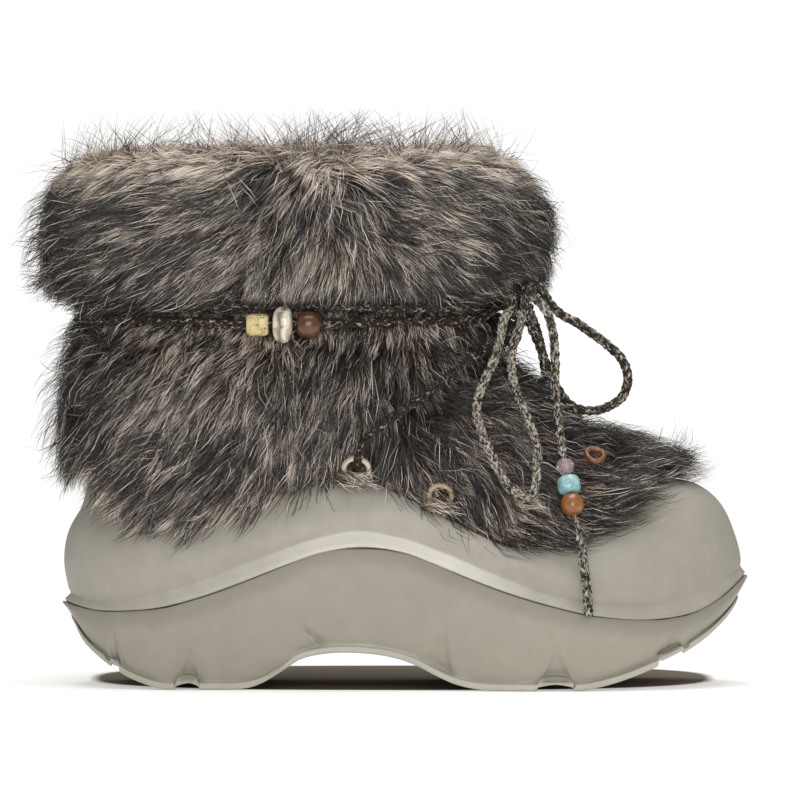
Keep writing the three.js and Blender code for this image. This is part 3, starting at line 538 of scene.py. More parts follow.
# %% [markdown]
# Three beads sit on the wrap, and their bores follow it. Three more are threaded on the near end and one on
# the far end, where the cord runs down at a slope.

# %% Beads in their places
slope, fall = (0.17, -0.41, -0.9), (0.12, 0.4, -0.9)
for node, slot, material, x, sizes in (
        ("bead_square", "bead_yellow", YELLOW_STONE, -59.6, dict(wide=9.0, tall=9.2, long=9.2, corners=3.6, belly=4.2)),
        ("bead_oval", "bead_striped", STRIPED_GLAZE, -50.0, dict(wide=9.6, tall=15.4, long=8.4, belly=2.2)),
        ("bead_wood_wrap", "bead_dark_wood", DARK_WOOD, -40.3, dict(wide=11.2, tall=11.2, long=9.8, belly=2.0))):
    turn = math.degrees(math.acos(2 * (x - WAIST["back"]) / (WAIST["front"] - WAIST["back"]) - 1))
    around = wrap_line(np.array([-turn - 361, -turn - 360, -turn - 359], float))
    bead(node + "_polished", node, slot, material, frame_mm(around[1]), around[2] - around[0], bore=2.6, **sizes)
end_beads = [
    bead("crystal_cut", "bead_crystal", "bead_crystal", PINK_CRYSTAL, frame_mm((67, -39.9, 92.8)), slope, 8.4, 8.4,
         7.4, belly=1.5, turns=8, rows=5),
    bead("turquoise_polished", "bead_turquoise", "bead_turquoise", TURQUOISE, frame_mm((68.5, -43.6, 85.3)), slope,
         9.8, 9.8, 7.8, belly=3.0),
    bead("brown_bead_turned", "bead_wood", "bead_brown_wood", BROWN_WOOD, frame_mm((69.9, -47.2, 77.4)), slope,
         9.6, 9.6, 9.0, belly=2.2),
]
far_bead = bead("teal_polished", "bead_teal", "bead_teal", TEAL_STONE, frame_mm((59.9, 7.6, 124.6)), fall, 9.2, 9.2,
                8.2, belly=2.4)
print("beads on the ends", [made.name for made in (*end_beads, far_bead)])


# %% [markdown]
# An eyelet ring is a band of cast resin with an oval cross-section, a little uneven, as cast rings are. Each
# kind comes as a pair, one on either side of the boot, turned to face out of the fur.

# %% Rings
def ring(name, node, slot, material, place, facing, outer, thick=2.3, deep=2.8):
    """A resin eyelet ring: a rounded band, a little deeper than it is thick."""
    facing = Vector(facing).normalized()
    turn_to = facing.to_track_quat("Z", "Y").to_matrix()
    turns, sides = 48, 12
    a, b = np.meshgrid(np.arange(turns) * 2 * math.pi / turns, np.arange(sides) * 2 * math.pi / sides, indexing="ij")
    radius = (outer - thick) / 2 + thick / 2 * np.cos(b) + 0.12 * np.sin(3 * a + 1)
    local = np.stack([radius * np.cos(a), radius * np.sin(a), deep / 2 * np.sin(b)], axis=-1).reshape(-1, 3)
    verts = local @ np.array(turn_to).T + frame_mm(place)
    made = mesh_from_arrays(name, verts, grid_quads(turns, sides), NO_TRIS, material)
    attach(made, "root")
    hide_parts(node)
    return made


RINGS = [  # name, slot, look, x, z, lateral y, medial y, facing, outer diameter
    ("ring_side", "ring_cream", CREAM_RESIN, -19.9, 92.1, -47.9, 47.6, (0, 0.9, -0.44), 12.6),
    ("ring_vamp", "ring_sand", SAND_RESIN, 15, 81, -48.4, 48.6, (0, 0.99, -0.14), 11.4),
    ("ring_toe", "ring_brown", BROWN_RESIN, 79.5, 97.2, -29, 34, (0.2, 0.65, 0.73), 9.6)]
for name, slot, look, x, z, lateral, medial, faces, outer in RINGS:
    for side_name, y, sign in (("lateral", lateral, -1), ("medial", medial, 1)):
        node = f"{name}_{side_name}"
        ring(node + "_resin", node, slot, look, (x, y, z), (faces[0], sign * faces[1], faces[2]), outer)
print("pairs of rings", [row[0] for row in RINGS])


# %% [markdown]
# The loops and ends hang free. Each is attached to the root, its plain solids are hidden, and its length is
# worked out.

# %% Free cords
FREE = {
    "bow_loop_side": (["bow_loop_side"], "object", []),
    "bow_loop_hanging": (["bow_loop_hanging"], "object", []),
    "lace_end_near": (["lace_end_near", "lace_end_near_thread", "lace_end_near_tip"], "bare", end_beads),
    "lace_end_far": (["lace_end_far", "lace_end_far_thread", "lace_end_far_tip"], "bare", [far_bead]),
}
for cord_name, (nodes, far_end, carried) in FREE.items():
    made, path = cords[cord_name]
    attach(made, "root")
    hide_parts(*nodes)
    length = float(np.linalg.norm(np.diff(path, axis=0), axis=1).sum()) * MM
    print(cord_name, "hangs with", len(carried), "beads")


# %% [markdown]
# The sole and the shell start from copies of the plain solids, because their shape is already right and only
# their edges and surface are too hard. Their triangles are joined back to quads, the edges that were sharp
# keep a crease, and a subdivision rounds the rest.

# %% Working on a plain solid
def edited(made, *steps):
    """Runs mesh operators on all of made's faces; each step is an operator and its settings."""
    bpy.ops.object.select_all(action="DESELECT")
    made.select_set(True)
    bpy.context.view_layer.objects.active = made
    bpy.ops.object.mode_set(mode="EDIT")
    bpy.ops.mesh.select_all(action="SELECT")
    for operator, settings in steps:
        operator(**settings)
    bpy.ops.object.mode_set(mode="OBJECT")


def take(name, new_name):
    """A merged copy of a CAD node's mesh as a new object, with its normals pointing out."""
    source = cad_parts[name]
    made = bpy.data.objects.new(new_name, source.data.copy())
    bpy.context.collection.objects.link(made)
    made.data.materials.clear()
    edited(made, (bpy.ops.mesh.remove_doubles, {"threshold": 0.02 * MM}),
           (bpy.ops.mesh.normals_make_consistent, {"inside": False}))
    for layer in list(made.data.uv_layers):
        made.data.uv_layers.remove(layer)
    return made


def vertex_vectors(made, what):
    flat = np.empty(len(made.data.vertices) * 3, np.float32)
    made.data.vertices.foreach_get(what, flat)
    return flat.reshape(-1, 3).astype(float)


def coordinates(made):
    """Every vertex's place in millimetres, in the last's frame."""
    return vertex_vectors(made, "co") / MM - LAST_TO_FRAME


def normals_of(made):
    return vertex_vectors(made, "normal")


def set_coordinates(made, places):
    made.data.vertices.foreach_set("co", ((places + LAST_TO_FRAME) * MM).astype(np.float32).ravel())
    made.data.update()


def rounded(made, crease_from, levels, crease=0.9):
    """Quads, creases on edges sharper than crease_from degrees, and an applied subdivision."""
    widest = math.radians(60)
    edited(made, (bpy.ops.mesh.tris_convert_to_quads, {"face_threshold": widest, "shape_threshold": widest}))
    form = bmesh.new()
    form.from_mesh(made.data)
    layer = form.edges.layers.float.get("crease_edge") or form.edges.layers.float.new("crease_edge")
    for edge in form.edges:
        if len(edge.link_faces) == 2 and edge.calc_face_angle(0) > math.radians(crease_from):
            edge[layer] = crease
    form.to_mesh(made.data)
    form.free()
    smoother = made.modifiers.new("rounding", "SUBSURF")
    smoother.levels = smoother.render_levels = levels
    bpy.ops.object.modifier_apply(modifier=smoother.name)
    made.data.polygons.foreach_set("use_smooth", np.ones(len(made.data.polygons), bool))


def relaxed(made, places, share, rounds):
    """Evens the surface out where share is near 1, by drawing each point towards its neighbours."""
    edges = np.empty(len(made.data.edges) * 2, np.int32)
    made.data.edges.foreach_get("vertices", edges)
    a, b = edges.reshape(-1, 2).T
    ends, others = np.concatenate([a, b]), np.concatenate([b, a])
    count = np.bincount(ends, minlength=len(places))[:, None]
    for _ in range(rounds):
        total = np.stack([np.bincount(ends, places[others, k], len(places)) for k in range(3)], axis=1)
        places = places + (total / count - places) * share[:, None]
    return places


def number_attribute(made, name, values):
    layer = made.data.attributes.new(name, "FLOAT", "POINT")
    layer.data.foreach_set("value", np.asarray(values, np.float32))


print("vertices in the plain sole", len(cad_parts["sole"].data.vertices))


# %% [markdown]
# Moulded EVA foam has a closed satin skin: a wide soft highlight, a fine even grain, and a faint mottle where
# it cooled. The flared band at the shell's foot catches the light, and a painted highlight makes it paler; a
# painted shade makes the undercut below it darker. The grain is drawn a little coarser than it is, so that it
# shows. The insole and the pelt's knitted backing are cloth, without any highlight.

# %% Foam and cloth
def foam_material():
    """Satin EVA foam: a matt skin with fine grain; a number per point paints shade in the undercut at 0, the plain wall
    at 0.5 and a highlight on the band at 1.
    """
    made, tree, shader = new_material("satin_eva_foam", 0.5, Specular_IOR_Level=0.35, IOR=1.45)
    painted_light_zone = add(tree, "ShaderNodeAttribute", attribute_name="painted_light_zone").outputs["Fac"]
    mottle = mottling(tree, 9, 4, 0.6)
    shift = add(tree, "ShaderNodeMath", {0: mottle, 1: 0.22, 2: -0.11}, operation="MULTIPLY_ADD").outputs[0]
    place = add(tree, "ShaderNodeMath", {0: painted_light_zone, 1: shift}, operation="ADD").outputs[0]
    # Painted light: the ramp's dark end is painted shade for the undercut, and its pale end is a painted highlight on
    # the band.
    colour = add(tree, "ShaderNodeValToRGB", {"Fac": place},
                 [(0.0, "#7d786c"), (0.3, "#8d887c"), (0.52, "#9d988c"), (0.98, "#d0ccc1")]).outputs["Color"]
    grain = add(tree, "ShaderNodeBump", {"Height": mottling(tree, 0.7, 3), "Distance": 0.06 * MM, "Strength": 0.5})
    into(tree, shader, Base_Color=colour, Normal=grain.outputs["Normal"])
    return made


def cloth_material(name, mottle, dark, pale, nap, nap_mm, nap_strength):
    """Knitted or felted cloth, quite matt: mottle and nap are the sizes and settings of its two fields."""
    made, tree, shader = new_material(name, 0.95, Specular_IOR_Level=0.1)
    colour = add(tree, "ShaderNodeValToRGB", {"Fac": mottling(tree, *mottle)}, [(0.3, dark), (0.7, pale)])
    raised = add(tree, "ShaderNodeBump", {
        "Height": mottling(tree, *nap), "Distance": nap_mm * MM, "Strength": nap_strength})
    into(tree, shader, Base_Color=colour.outputs["Color"], Normal=raised.outputs["Normal"])
    return made


FOAM = foam_material()
print("foam look", FOAM.name)


# %% [markdown]
# The side wall of the sole has shallow facets pressed into it beside the tread's notches. Cutting them with
# booleans would leave thin slivers, so each is a depth worked out from its corners, by which the wall's
# points are pushed in.

# %% Facets of the side wall
UNDERSIDE = [
    (-143, 33.5), (-138, 25.5), (-134, 18), (-129, 13.6), (-121, 8.4), (-110.5, 2.5), (-101, 0), (-68, 0),
    (-59, 1.4), (-52, 4.6), (-46, 11), (-41, 13.6), (-18, 15.9), (0, 12.7), (11.5, 6.8), (19, 3.3), (28, 0.7),
    (35, 0), (74, 0), (86, 2.1), (99, 6.7), (120, 16.6), (132, 25), (139, 33), (144, 43)]

# Facets pressed into the side wall: two feet and an apex along X, apex height, depth, and whether the
# facet is a flat triangle or deepens from its first foot to a crease at its second.
WEDGES = [(-95.5, -85.3, -88.5, 20.5, 1.5, "flat"), (-22, -33.5, -44.5, 29, 2.8, "crease"),
          (5.5, 20.5, 17.2, 31.5, 1.7, "flat"), (55.2, 71, 63.6, 22, 2.1, "flat"),
          (107.3, 119, 111, 27, 1.7, "flat"), (-113, -120.6, -121.2, 25, 1.4, "crease")]

# The plain solid's own facets (foot, deepest, foot, top, depth), which are filled and evened out before the
# fine ones are pressed, and its notches (from, to, depth), which are made shallower.
PLAIN_FACETS = [(-98, -88, -82, 21, 3), (-47, -38, -33, 29, 2.6), (4, 18, 21, 31, 3), (53, 63, 73, 22, 3),
                (106, 110.5, 120, 27, 3)]
NOTCHES = [(-124.5, -120.5, 2.4), (-95.4, -85.4, 4.2), (55.3, 70.7, 4.4), (107.5, 118.5, 2.6)]


def pressed(places):
    """Depth of the side wall's facets at places."""
    x, z = places[:, 0], places[:, 2]
    foot = curve(UNDERSIDE, x)
    depth = 0 * x
    for first, second, apex, top, deep, form in WEDGES:
        up = np.clip((z - foot) / (top - foot + 1e-9), 0, 1)
        left, right = first + (apex - first) * up, second + (apex - second) * up ** (1.4 if form == "crease" else 1)
        width = np.maximum(np.abs(right - left), 0.3)
        across = (x - left) * np.sign(second - first) / width
        inside = (across > 0) & (across < 1) & (z < top)
        edge = np.minimum(np.minimum(across, 1 - across) * width / 2.0, 1)
        here = deep * across * (1 - up ** 2) if form == "crease" else deep * (1 - 0.8 * up) * edge
        depth = np.maximum(depth, np.where(inside, here, 0))
    return depth


print("facets", len(WEDGES), "notches", len(NOTCHES))


# %% [markdown]
# The sole is one thick moulding: rockered at both ends, arched under the instep, with a lip along its foot
# and a bead where the shell stands on it. The plain facets are evened out first, and then the fine ones are
# pressed in.

# %% Sole
sole = take("sole", "sole_moulded")
rounded(sole, 28, 3)
places = coordinates(sole)
facing = normals_of(sole)
low = places[:, 2]
joint = curve(JOINT, places[:, 0])
wall = smooth((np.abs(facing[:, 1]) - 0.25) / 0.4) * (low < joint - 1)
flat_out = facing * np.array([1, 1, 0])
flat_out /= np.linalg.norm(flat_out, axis=1)[:, None] + 1e-9
foot = curve(UNDERSIDE, places[:, 0])
plain, loose = 0 * low, 0 * low
for start_x, deepest, end_x, top, deep in PLAIN_FACETS:
    loose = np.maximum(loose, smooth((places[:, 0] - start_x + 7) / 4) * smooth((end_x + 7 - places[:, 0]) / 4)
                       * (1 - smooth((low - top - 2) / 4)))
    near = np.where(places[:, 0] < deepest, start_x, end_x)
    share = np.clip((places[:, 0] - near) / (deepest - near), 0, 1)
    plain += deep * share * np.clip((top - low) / (top - foot), 0, 1)
for from_x, to_x, deep in NOTCHES:
    inside = (places[:, 0] > from_x - 0.1) & (places[:, 0] < to_x + 0.1)
    filled = 0.5 * deep * np.clip(1 - (low - foot) / 11, 0, 1) * smooth((low - foot - 1) / 2)
    places[:, 2] -= np.where(inside, filled, 0)
above_foot = smooth((low - foot - 3) / 2)
places = places + flat_out * (0.9 * plain * wall * above_foot)[:, None]
places = relaxed(sole, places, loose * above_foot * (np.abs(facing[:, 2]) < 0.8), 60)
places = places - flat_out * (pressed(places) * wall * above_foot)[:, None]
outer_wall = (np.abs(facing[:, 2]) < 0.8) * (np.hypot(places[:, 0] / 3, places[:, 1]) > 30)
near_joint = smooth((low - joint + 9) / 8) * outer_wall
places = places + flat_out * (1.2 * near_joint)[:, None]
places[:, 2] += 0.7 * smooth((low - joint + 5) / 5) * (np.abs(low - joint) < 6)
set_coordinates(sole, places)
# Painted light on the sole: painted shade darkens it towards the heel and in the undercut below the joint, and a
# painted highlight makes the lip along its foot paler.
lip = (1 - smooth((low - curve(UNDERSIDE, places[:, 0]) - 2.8) / 1.2)) * (low > 0.4)
undercut = smooth((low - joint + 9) / 8)
number_attribute(sole, "painted_light_zone", 0.46 - 0.08 * smooth((-30 - places[:, 0]) / 60) - 0.2 * undercut + 0.22 * lip)
sole.data.materials.append(FOAM)
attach(sole, "root")
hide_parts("sole")

print("sole faces", len(sole.data.polygons))


# %% [markdown]
# The shell is a galosh of the same foam, with a domed toe and a heel cup. It is drawn in a little over the
# tips. A number on every point, which the foam's colours read, paints a highlight on its band and paints its
# middle a little lighter, as light falls there.

# %% Shell
shell = take("shell", "shell_moulded")
rounded(shell, 30, 2)
places = coordinates(shell)
height = places[:, 2]
facing = normals_of(shell)
tips = smooth((np.abs(places[:, 0] - 0.5) - 118) / 24) * (1 - smooth((height - curve(BAND, places[:, 0]) + 1) / 4))
drawn_in = 1.3 * tips * (np.einsum("ij,ij->i", facing[:, :2], places[:, :2] - [0.5, 0]) > 0)
places[:, :2] -= (places[:, :2] - [0.5, 0]) * (drawn_in / np.linalg.norm(places[:, :2] - [0.5, 0], axis=1))[:, None]
set_coordinates(shell, places)
over_joint, over_band = height - curve(JOINT, places[:, 0]), height - curve(BAND, places[:, 0])
band = smooth((over_joint - 0.2) / 0.8) * (1 - smooth((over_band + 0.6) / 1.4))
fade = smooth((places[:, 0] + 138) / 16) * smooth((142 - places[:, 0]) / 10)
# Painted light on the shell: glow is a painted highlight on the band, brightest over the arch and faded at heel and toe
# by fade, and middle paints the shell's middle lighter.
glow = np.interp(places[:, 0], [-120, -60, -30, 10, 50, 90], [0.0, 0.2, 0.6, 0.6, 0.15, 0.02])
middle = 0.1 * np.exp(-((places[:, 0] + 10) / 55) ** 2) * (1 - band)
number_attribute(shell, "painted_light_zone", 0.5 + middle + glow * band * fade)
shell.data.materials.append(FOAM)
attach(shell, "root")
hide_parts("shell")

print("shell faces", len(shell.data.polygons))


# %% [markdown]
# The insole is a flat fleece-covered board, hardly seen down the shaft, so its solid is only softened.

# %% Insole
insole = take("insole", "insole_fleece")
rounded(insole, 40, 2, crease=0.6)
insole.data.materials.append(
    cloth_material("fleece_insole", (1.6, 4, 0.7), "#75695a", "#a89a88", (1.2, 4, 0.7), 0.8, 0.8))
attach(insole, "root")
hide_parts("insole")
print("insole faces", len(insole.data.polygons))


# %% [markdown]
# Deep faux fur is an acrylic pile on a knitted backing. Blender could grow it as hair, but hair isn't
# exported, and a fur texture on a smooth form has no depth at its outline. So the backing is the upper's own
# form drawn in by the depth of the pile, and the pile is many single strands that grow from it.

# %% Fur backing
WAIST_Z = 156.3  # the cord winds round the shaft here, and parts the upper pile from the lower
RIM_Z = 223  # everything above this is the collar's rim
PILE_DEEP = 7.5


def throat_height(x):
    return curve(THROAT, x)


def outside_of(places, normals):
    """True where the upper's surface faces out, false on the lining."""
    x, z = places[:, 0], places[:, 2]
    centre = np.stack([-47 + (x + 47) * 0.5, 0 * x, np.where(z > 118, z, 70)], axis=1)
    out = np.einsum("ij,ij->i", places - centre, normals) > 0
    return out | (z > RIM_Z)


backing = take("fur_upper", "fur_backing")
rounded(backing, 75, 1, crease=0.3)
places, normals = coordinates(backing), normals_of(backing)
above = places[:, 2] - throat_height(places[:, 0])
out = outside_of(places, normals)
at_waist = 1 - smooth((np.abs(places[:, 2] - WAIST_Z) - 5) / 9)
depth = PILE_DEEP * smooth((above - 1) / 12) * (1 - 0.8 * at_waist)
depth = np.where(places[:, 2] > 214, depth * 0.75, depth)
set_coordinates(backing, places - normals * np.where(out, depth, 1.5)[:, None])
backing.data.materials.append(
    cloth_material("knitted_pelt_backing", (2.4, 4, 0.65), "#4a4038", "#8d7f71", (1.4, 4, 0.7), 1.0, 0.9))
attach(backing, "root")
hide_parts("fur_upper")
print("backing faces", len(backing.data.polygons), "facing out", int(out.sum()), "points")


# %% [markdown]
# Roots are spread over the backing at random, more thickly where the pile is dense. One random generator
# with a fixed seed serves the whole fur, so it grows the same way each time.

# %% Roots of the strands
rng = np.random.default_rng(7)
STRANDS = {"outside": 128_000, "fine": 44_000, "lining": 10_000, "guard": 30_000, "rim": 1_200}


def scatter(made, old_places, old_normals, count, keep, weight=None):
    """count random roots on the faces where keep holds; returns roots, and the full pile's place and normal there."""
    made.data.calc_loop_triangles()
    tris = np.empty(len(made.data.loop_triangles) * 3, np.int32)
    made.data.loop_triangles.foreach_get("vertices", tris)
    tris = tris.reshape(-1, 3)
    tris = tris[keep[tris].all(axis=1)]
    now = coordinates(made)
    corner = old_places[tris]
    area = np.linalg.norm(np.cross(corner[:, 1] - corner[:, 0], corner[:, 2] - corner[:, 0]), axis=1)
    if weight is not None:
        area = area * weight(corner.mean(axis=1))
    chosen = tris[rng.choice(len(tris), count, p=area / area.sum())]
    a, b = rng.random(count), rng.random(count)
    a, b = np.where(a + b > 1, 1 - a, a), np.where(a + b > 1, 1 - b, b)
    share = np.stack([1 - a - b, a, b], axis=1)[:, :, None]
    normal = (old_normals[chosen] * share).sum(axis=1)
    normal /= np.linalg.norm(normal, axis=1)[:, None]
    return (now[chosen] * share).sum(axis=1), (old_places[chosen] * share).sum(axis=1), normal


print("roots to come", sum(STRANDS.values()) - STRANDS["fine"])


# %% [markdown]
# Fur looks real when it is combed: smooth fields over the boot say which way the pile lies, cells of a few
# millimetres lean alike, and larger patches are darker or paler, as fur is where it parts.

# %% Comb and patches
def waves(p, size, seed):
    """A cheap smooth random field, about -1 to 1, with features of about size mm."""
    made = np.random.default_rng(seed)
    total = 0
    for _ in range(6):
        direction = made.normal(size=3)
        direction /= np.linalg.norm(direction)
        total = total + np.sin(p @ direction * 2 * math.pi / (size * made.uniform(0.7, 1.6)) + made.uniform(0, 6.3))
    return total / 2.6


def combed(p):
    """The direction in which the pile is combed at p, before it is laid on the surface."""
    x, y, z = p.T
    side = np.where(y < 0, -1.0, 1.0)
    back = smooth((-40 - x) / 44)
    front = smooth((x + 34) / 44)
    high = smooth((z - 168) / 30)
    upper = np.stack([front * (0.9 + 0.9 * high) - back * (1.3 + 1.5 * high), 0 * x,
                      -1 + (0.5 * back + 0.45 * front) * high], axis=1)
    on_vamp = smooth((x - 14) / 34) * smooth((150 - z) / 16)
    toe = smooth((x - 66) / 24)
    edge = smooth((10 - z + throat_height(x)) / 8) * smooth((x + 60) / 40)
    lower = np.stack([-0.85 * back + 0.3 * front + 1.5 * on_vamp + 0.6 * toe + 1.6 * edge, side * 0.1 * on_vamp,
                      -1 + 0.6 * on_vamp + 1.2 * toe + 0.6 * edge], axis=1)
    mixed = np.where((z > WAIST_Z)[:, None], upper, lower)
    rim = smooth((z - 216) / 9)[:, None]
    mixed = mixed * (1 - rim) + rim * np.array([0, 0, 0.9])
    swirl = waves(p, 46, 3)[:, None] * np.array([0.6, 0.0, 0.4]) + waves(p, 17, 5)[:, None] * np.array([0.6, 0, 0.5])
    return mixed + swirl


CELL_ROWS, CELL_PRIMES = 4096, np.array([73856093, 19349663, 83492791])


def by_cell(p, size, seed):
    """A random vector for each cell of about size mm, the same for every strand that grows in it."""
    table = np.random.default_rng(seed).normal(size=(CELL_ROWS, 3))
    cell = np.floor((p + waves(p, 11, seed)[:, None]) / size).astype(np.int64)
    return table[(cell @ CELL_PRIMES) % CELL_ROWS]


# Dark and pale patches of the pile: x, z, half width, half height, how much darker.
PATCHES = [
    (-117, 173, 24, 8, 0.4), (-131, 162, 14, 9, 0.4), (-85, 190, 16, 6, 0.25), (-115, 208, 22, 6, 0.3),
    (-54, 214, 7, 9, 0.5), (-20, 211, 18, 6, 0.4), (11, 175, 24, 9, 0.35), (40, 196, 16, 14, 0.3),
    (53, 183, 9, 16, 0.4), (-138, 112, 12, 20, 0.4), (-123, 141, 14, 8, 0.35), (-73, 104, 28, 8, 0.45),
    (-102, 79, 16, 8, 0.35), (-44, 133, 12, 12, 0.2), (7, 121, 20, 15, 0.5), (-2, 104, 16, 7, 0.45),
    (28, 141, 12, 14, 0.4), (40, 97, 24, 6, 0.3), (99, 95, 18, 8, 0.5), (65, 108, 18, 8, 0.4),
    (-44, 178, 16, 8, -0.25), (-131, 217, 14, 8, -0.3), (-95, 125, 20, 8, -0.2), (-60, 146, 20, 5, -0.2),
    (-90, 88, 22, 6, -0.15), (10, 192, 18, 8, -0.2), (60, 84, 22, 7, -0.2)]


def patched(p):
    """How much the patches lighten the pile at p; their edges wander by a few millimetres."""
    total = 0 * p[:, 0]
    wander = p + np.stack([waves(p, 18, 21), 0 * total, waves(p, 14, 22)], axis=1) * 4
    for x, z, wide, tall, dark in PATCHES:
        total -= dark * np.exp(-(((wander[:, 0] - x) / wide) ** 2 + ((wander[:, 2] - z) / tall) ** 2))
    return total


def pieces_of_lace():
    """Points of all the lace but the wrap, and the middles of the toe rings: the pile lies down beside them."""
    points = [path - LAST_TO_FRAME for _, path in cords.values()] + [knot_path - LAST_TO_FRAME]
    points += [smooth_line(list(route), 2.0) for route in SIDE_LACES.values()]
    points += [np.array([[x, lateral, z], [x, medial, z]], float) for _, _, _, x, z, lateral, medial, _, _ in RINGS[2:]]
    return np.vstack(points)


def nearest(points, queries):
    """For each query, the nearest point's number and how far away it is."""
    tree_of = kdtree.KDTree(len(points))
    for k, point in enumerate(points):
        tree_of.insert(point, k)
    tree_of.balance()
    found = [tree_of.find(q)[1:] for q in queries]
    return np.array([f[0] for f in found]), np.array([f[1] for f in found])


print("patches", len(PATCHES))


# %% [markdown]
# A strand is four points: it leaves the backing steeply, bends over, and lies along the comb. Tufts gather
# neighbours, the lace presses the pile down, the shell pushes it out, and each strand becomes a flat ribbon
# that tapers to its tip.

# %% Shape of the strands
WIDEST, BACKMOST, LOWEST, HIGHEST = 78.0, -171.0, 30.0, 244.4  # limits of the pile, mm
LACE_POINTS = pieces_of_lace()
SHELL_TREE = bvhtree.BVHTree.FromObject(shell, bpy.context.evaluated_depsgraph_get())


def bend(root, full, normal, length, lift, direction=None, droop=0.3):
    """Four points for each strand: it leaves its root at lift degrees, bends over, and lies along the comb."""
    way = combed(full) + by_cell(full, 5.0, 31) * 0.3 if direction is None else direction
    way = way + rng.normal(0, 0.16, way.shape)
    along = way - normal * np.einsum("ij,ij->i", way, normal)[:, None]
    along /= np.linalg.norm(along, axis=1)[:, None] + 1e-9
    lift = np.radians(lift)
    points = [root]
    for step, share in ((0, 1.25), (1, 0.62), (2, 0.15)):
        angle = (lift * share)[:, None]
        heading = along * np.cos(angle) + normal * np.sin(angle) + np.array([0, 0, -droop * step / 2])
        heading /= np.linalg.norm(heading, axis=1)[:, None]
        points.append(points[-1] + heading * (length / 3)[:, None])
    strands = np.stack(points, axis=1)
    sideways = np.cross(normal, along)
    curl = by_cell(full, 6.0, 71)[:, 0] * 0.11 + rng.normal(0, 0.09, len(root))
    for k, share in ((1, 0.2), (2, 0.75), (3, 0.5)):
        strands[:, k] += sideways * (curl * share * length)[:, None]
    strands[:, 1:] += rng.normal(0, 0.03, (len(root), 3, 3)) * length[:, None, None]
    return strands


def tufts(strands, spacing, pull):
    """Draws each strand's outer part towards the strand in the middle of its tuft; returns the tuft's number."""
    roots = strands[:, 0]
    cells = {}
    for k, key in enumerate(map(tuple, np.floor(roots / spacing).astype(int))):
        cells.setdefault(key, k)
    leaders = np.array(list(cells.values()))
    which, _ = nearest(roots[leaders], roots)
    middle = strands[leaders][which].copy()
    for k, share in ((1, 0.35), (2, 0.8), (3, 1.0)):
        amount = pull * share
        strands[:, k] += (middle[:, k] - strands[:, k] + (roots - middle[:, 0]) * 0.25) * amount[:, None]
    return which


def held_in(strands, high):
    """Draws the pile that stands out past the boot's outline at the back and the front back towards it."""
    x = strands[:, :, 0]
    back, front = np.where(high, -146, -139)[:, None], np.where(high, 60, 200)[:, None]
    x = np.where(x < back, back + (x - back) * 0.45, x)
    strands[:, :, 0] = np.where(x > front, front + (x - front) * 0.5, x)


def over_rings(count):
    """Strands from beside the side and vamp rings that lie over each ring's lower part."""
    made, out_to = [], []
    for _, _, _, x, z, lateral, medial, _, outer in RINGS[:2]:
        for y in (lateral, medial):
            across = outer / 2
            start = rng.uniform(-1.5, 0.1, count)
            fall = rng.uniform(-0.9, -0.1, count)
            reach = rng.uniform(0.9, 2.1, count)
            proud = np.abs(y) + rng.uniform(1.6, 3.4, count)
            rows = [(start - 0.2, start * 0 + abs(y) - 4, -0.1), (start + 0.25 * reach, proud, -0.15),
                    (start + 0.65 * reach, proud + 0.6, -0.35), (start + reach, proud - 0.8, -0.7)]
            made.append(np.stack([np.stack([x + across * along, np.sign(y) * high, z + across * (fall + sink)], axis=1)
                                  for along, high, sink in rows], axis=1))
            out_to.append(np.tile([0.0, np.sign(y), 0.0], (count, 1)))
    made = np.concatenate(made)
    made[:, 1:] += rng.normal(0, 1.0, (len(made), 3, 3)) * np.array([1, 0.3, 1])
    return made, np.concatenate(out_to)


def clear_of_shell(strands):
    """Pushes points that sank into the shell back out of it."""
    for k in (1, 2, 3):
        p = strands[:, k]
        low = np.nonzero((p[:, 2] < throat_height(p[:, 0]) + 3) & (p[:, 0] < 125))[0]
        for index in low:
            at = Vector((p[index] + LAST_TO_FRAME) * MM)
            place, facing, _, away = SHELL_TREE.find_nearest(at)
            if place is None or away > 14 * MM:
                continue
            out_by = (at - place).dot(facing)
            if out_by < (0.6 + 0.5 * k) * MM:
                strands[index, k] += np.array(facing) * ((0.6 + 0.5 * k) - out_by / MM)


def limited(strands, low_z, high_z):
    """Shortens strands that would reach below low_z or above high_z, and keeps them inside the limits."""
    root, tip = strands[:, 0, 2], strands[:, 3, 2]
    with np.errstate(divide="ignore", invalid="ignore"):
        scale = np.where(tip < low_z, (root - low_z) / (root - tip), 1.0)
        scale = np.where(tip > high_z, np.minimum(scale, (high_z - root) / (tip - root)), scale)
    scale = np.clip(np.nan_to_num(scale, nan=1.0), 0.3, 1.0)
    strands = strands[:, :1] + (strands - strands[:, :1]) * scale[:, None, None]
    strands[:, :, 0] = np.maximum(strands[:, :, 0], BACKMOST)
    strands[:, :, 1] = np.clip(strands[:, :, 1], -WIDEST, WIDEST)
    return strands


def parted(strands, upper, over_cord, top, under_cord):
    """Keeps upper strands between over_cord and top, and the others below under_cord."""
    return np.where(upper[:, None, None], limited(strands, over_cord, top), limited(strands, LOWEST, under_cord))


def tuft_shades(tuft, seed):
    return np.random.default_rng(seed).random(tuft.max() + 1)[tuft]


print("the lace presses on the pile at", len(LACE_POINTS), "points")
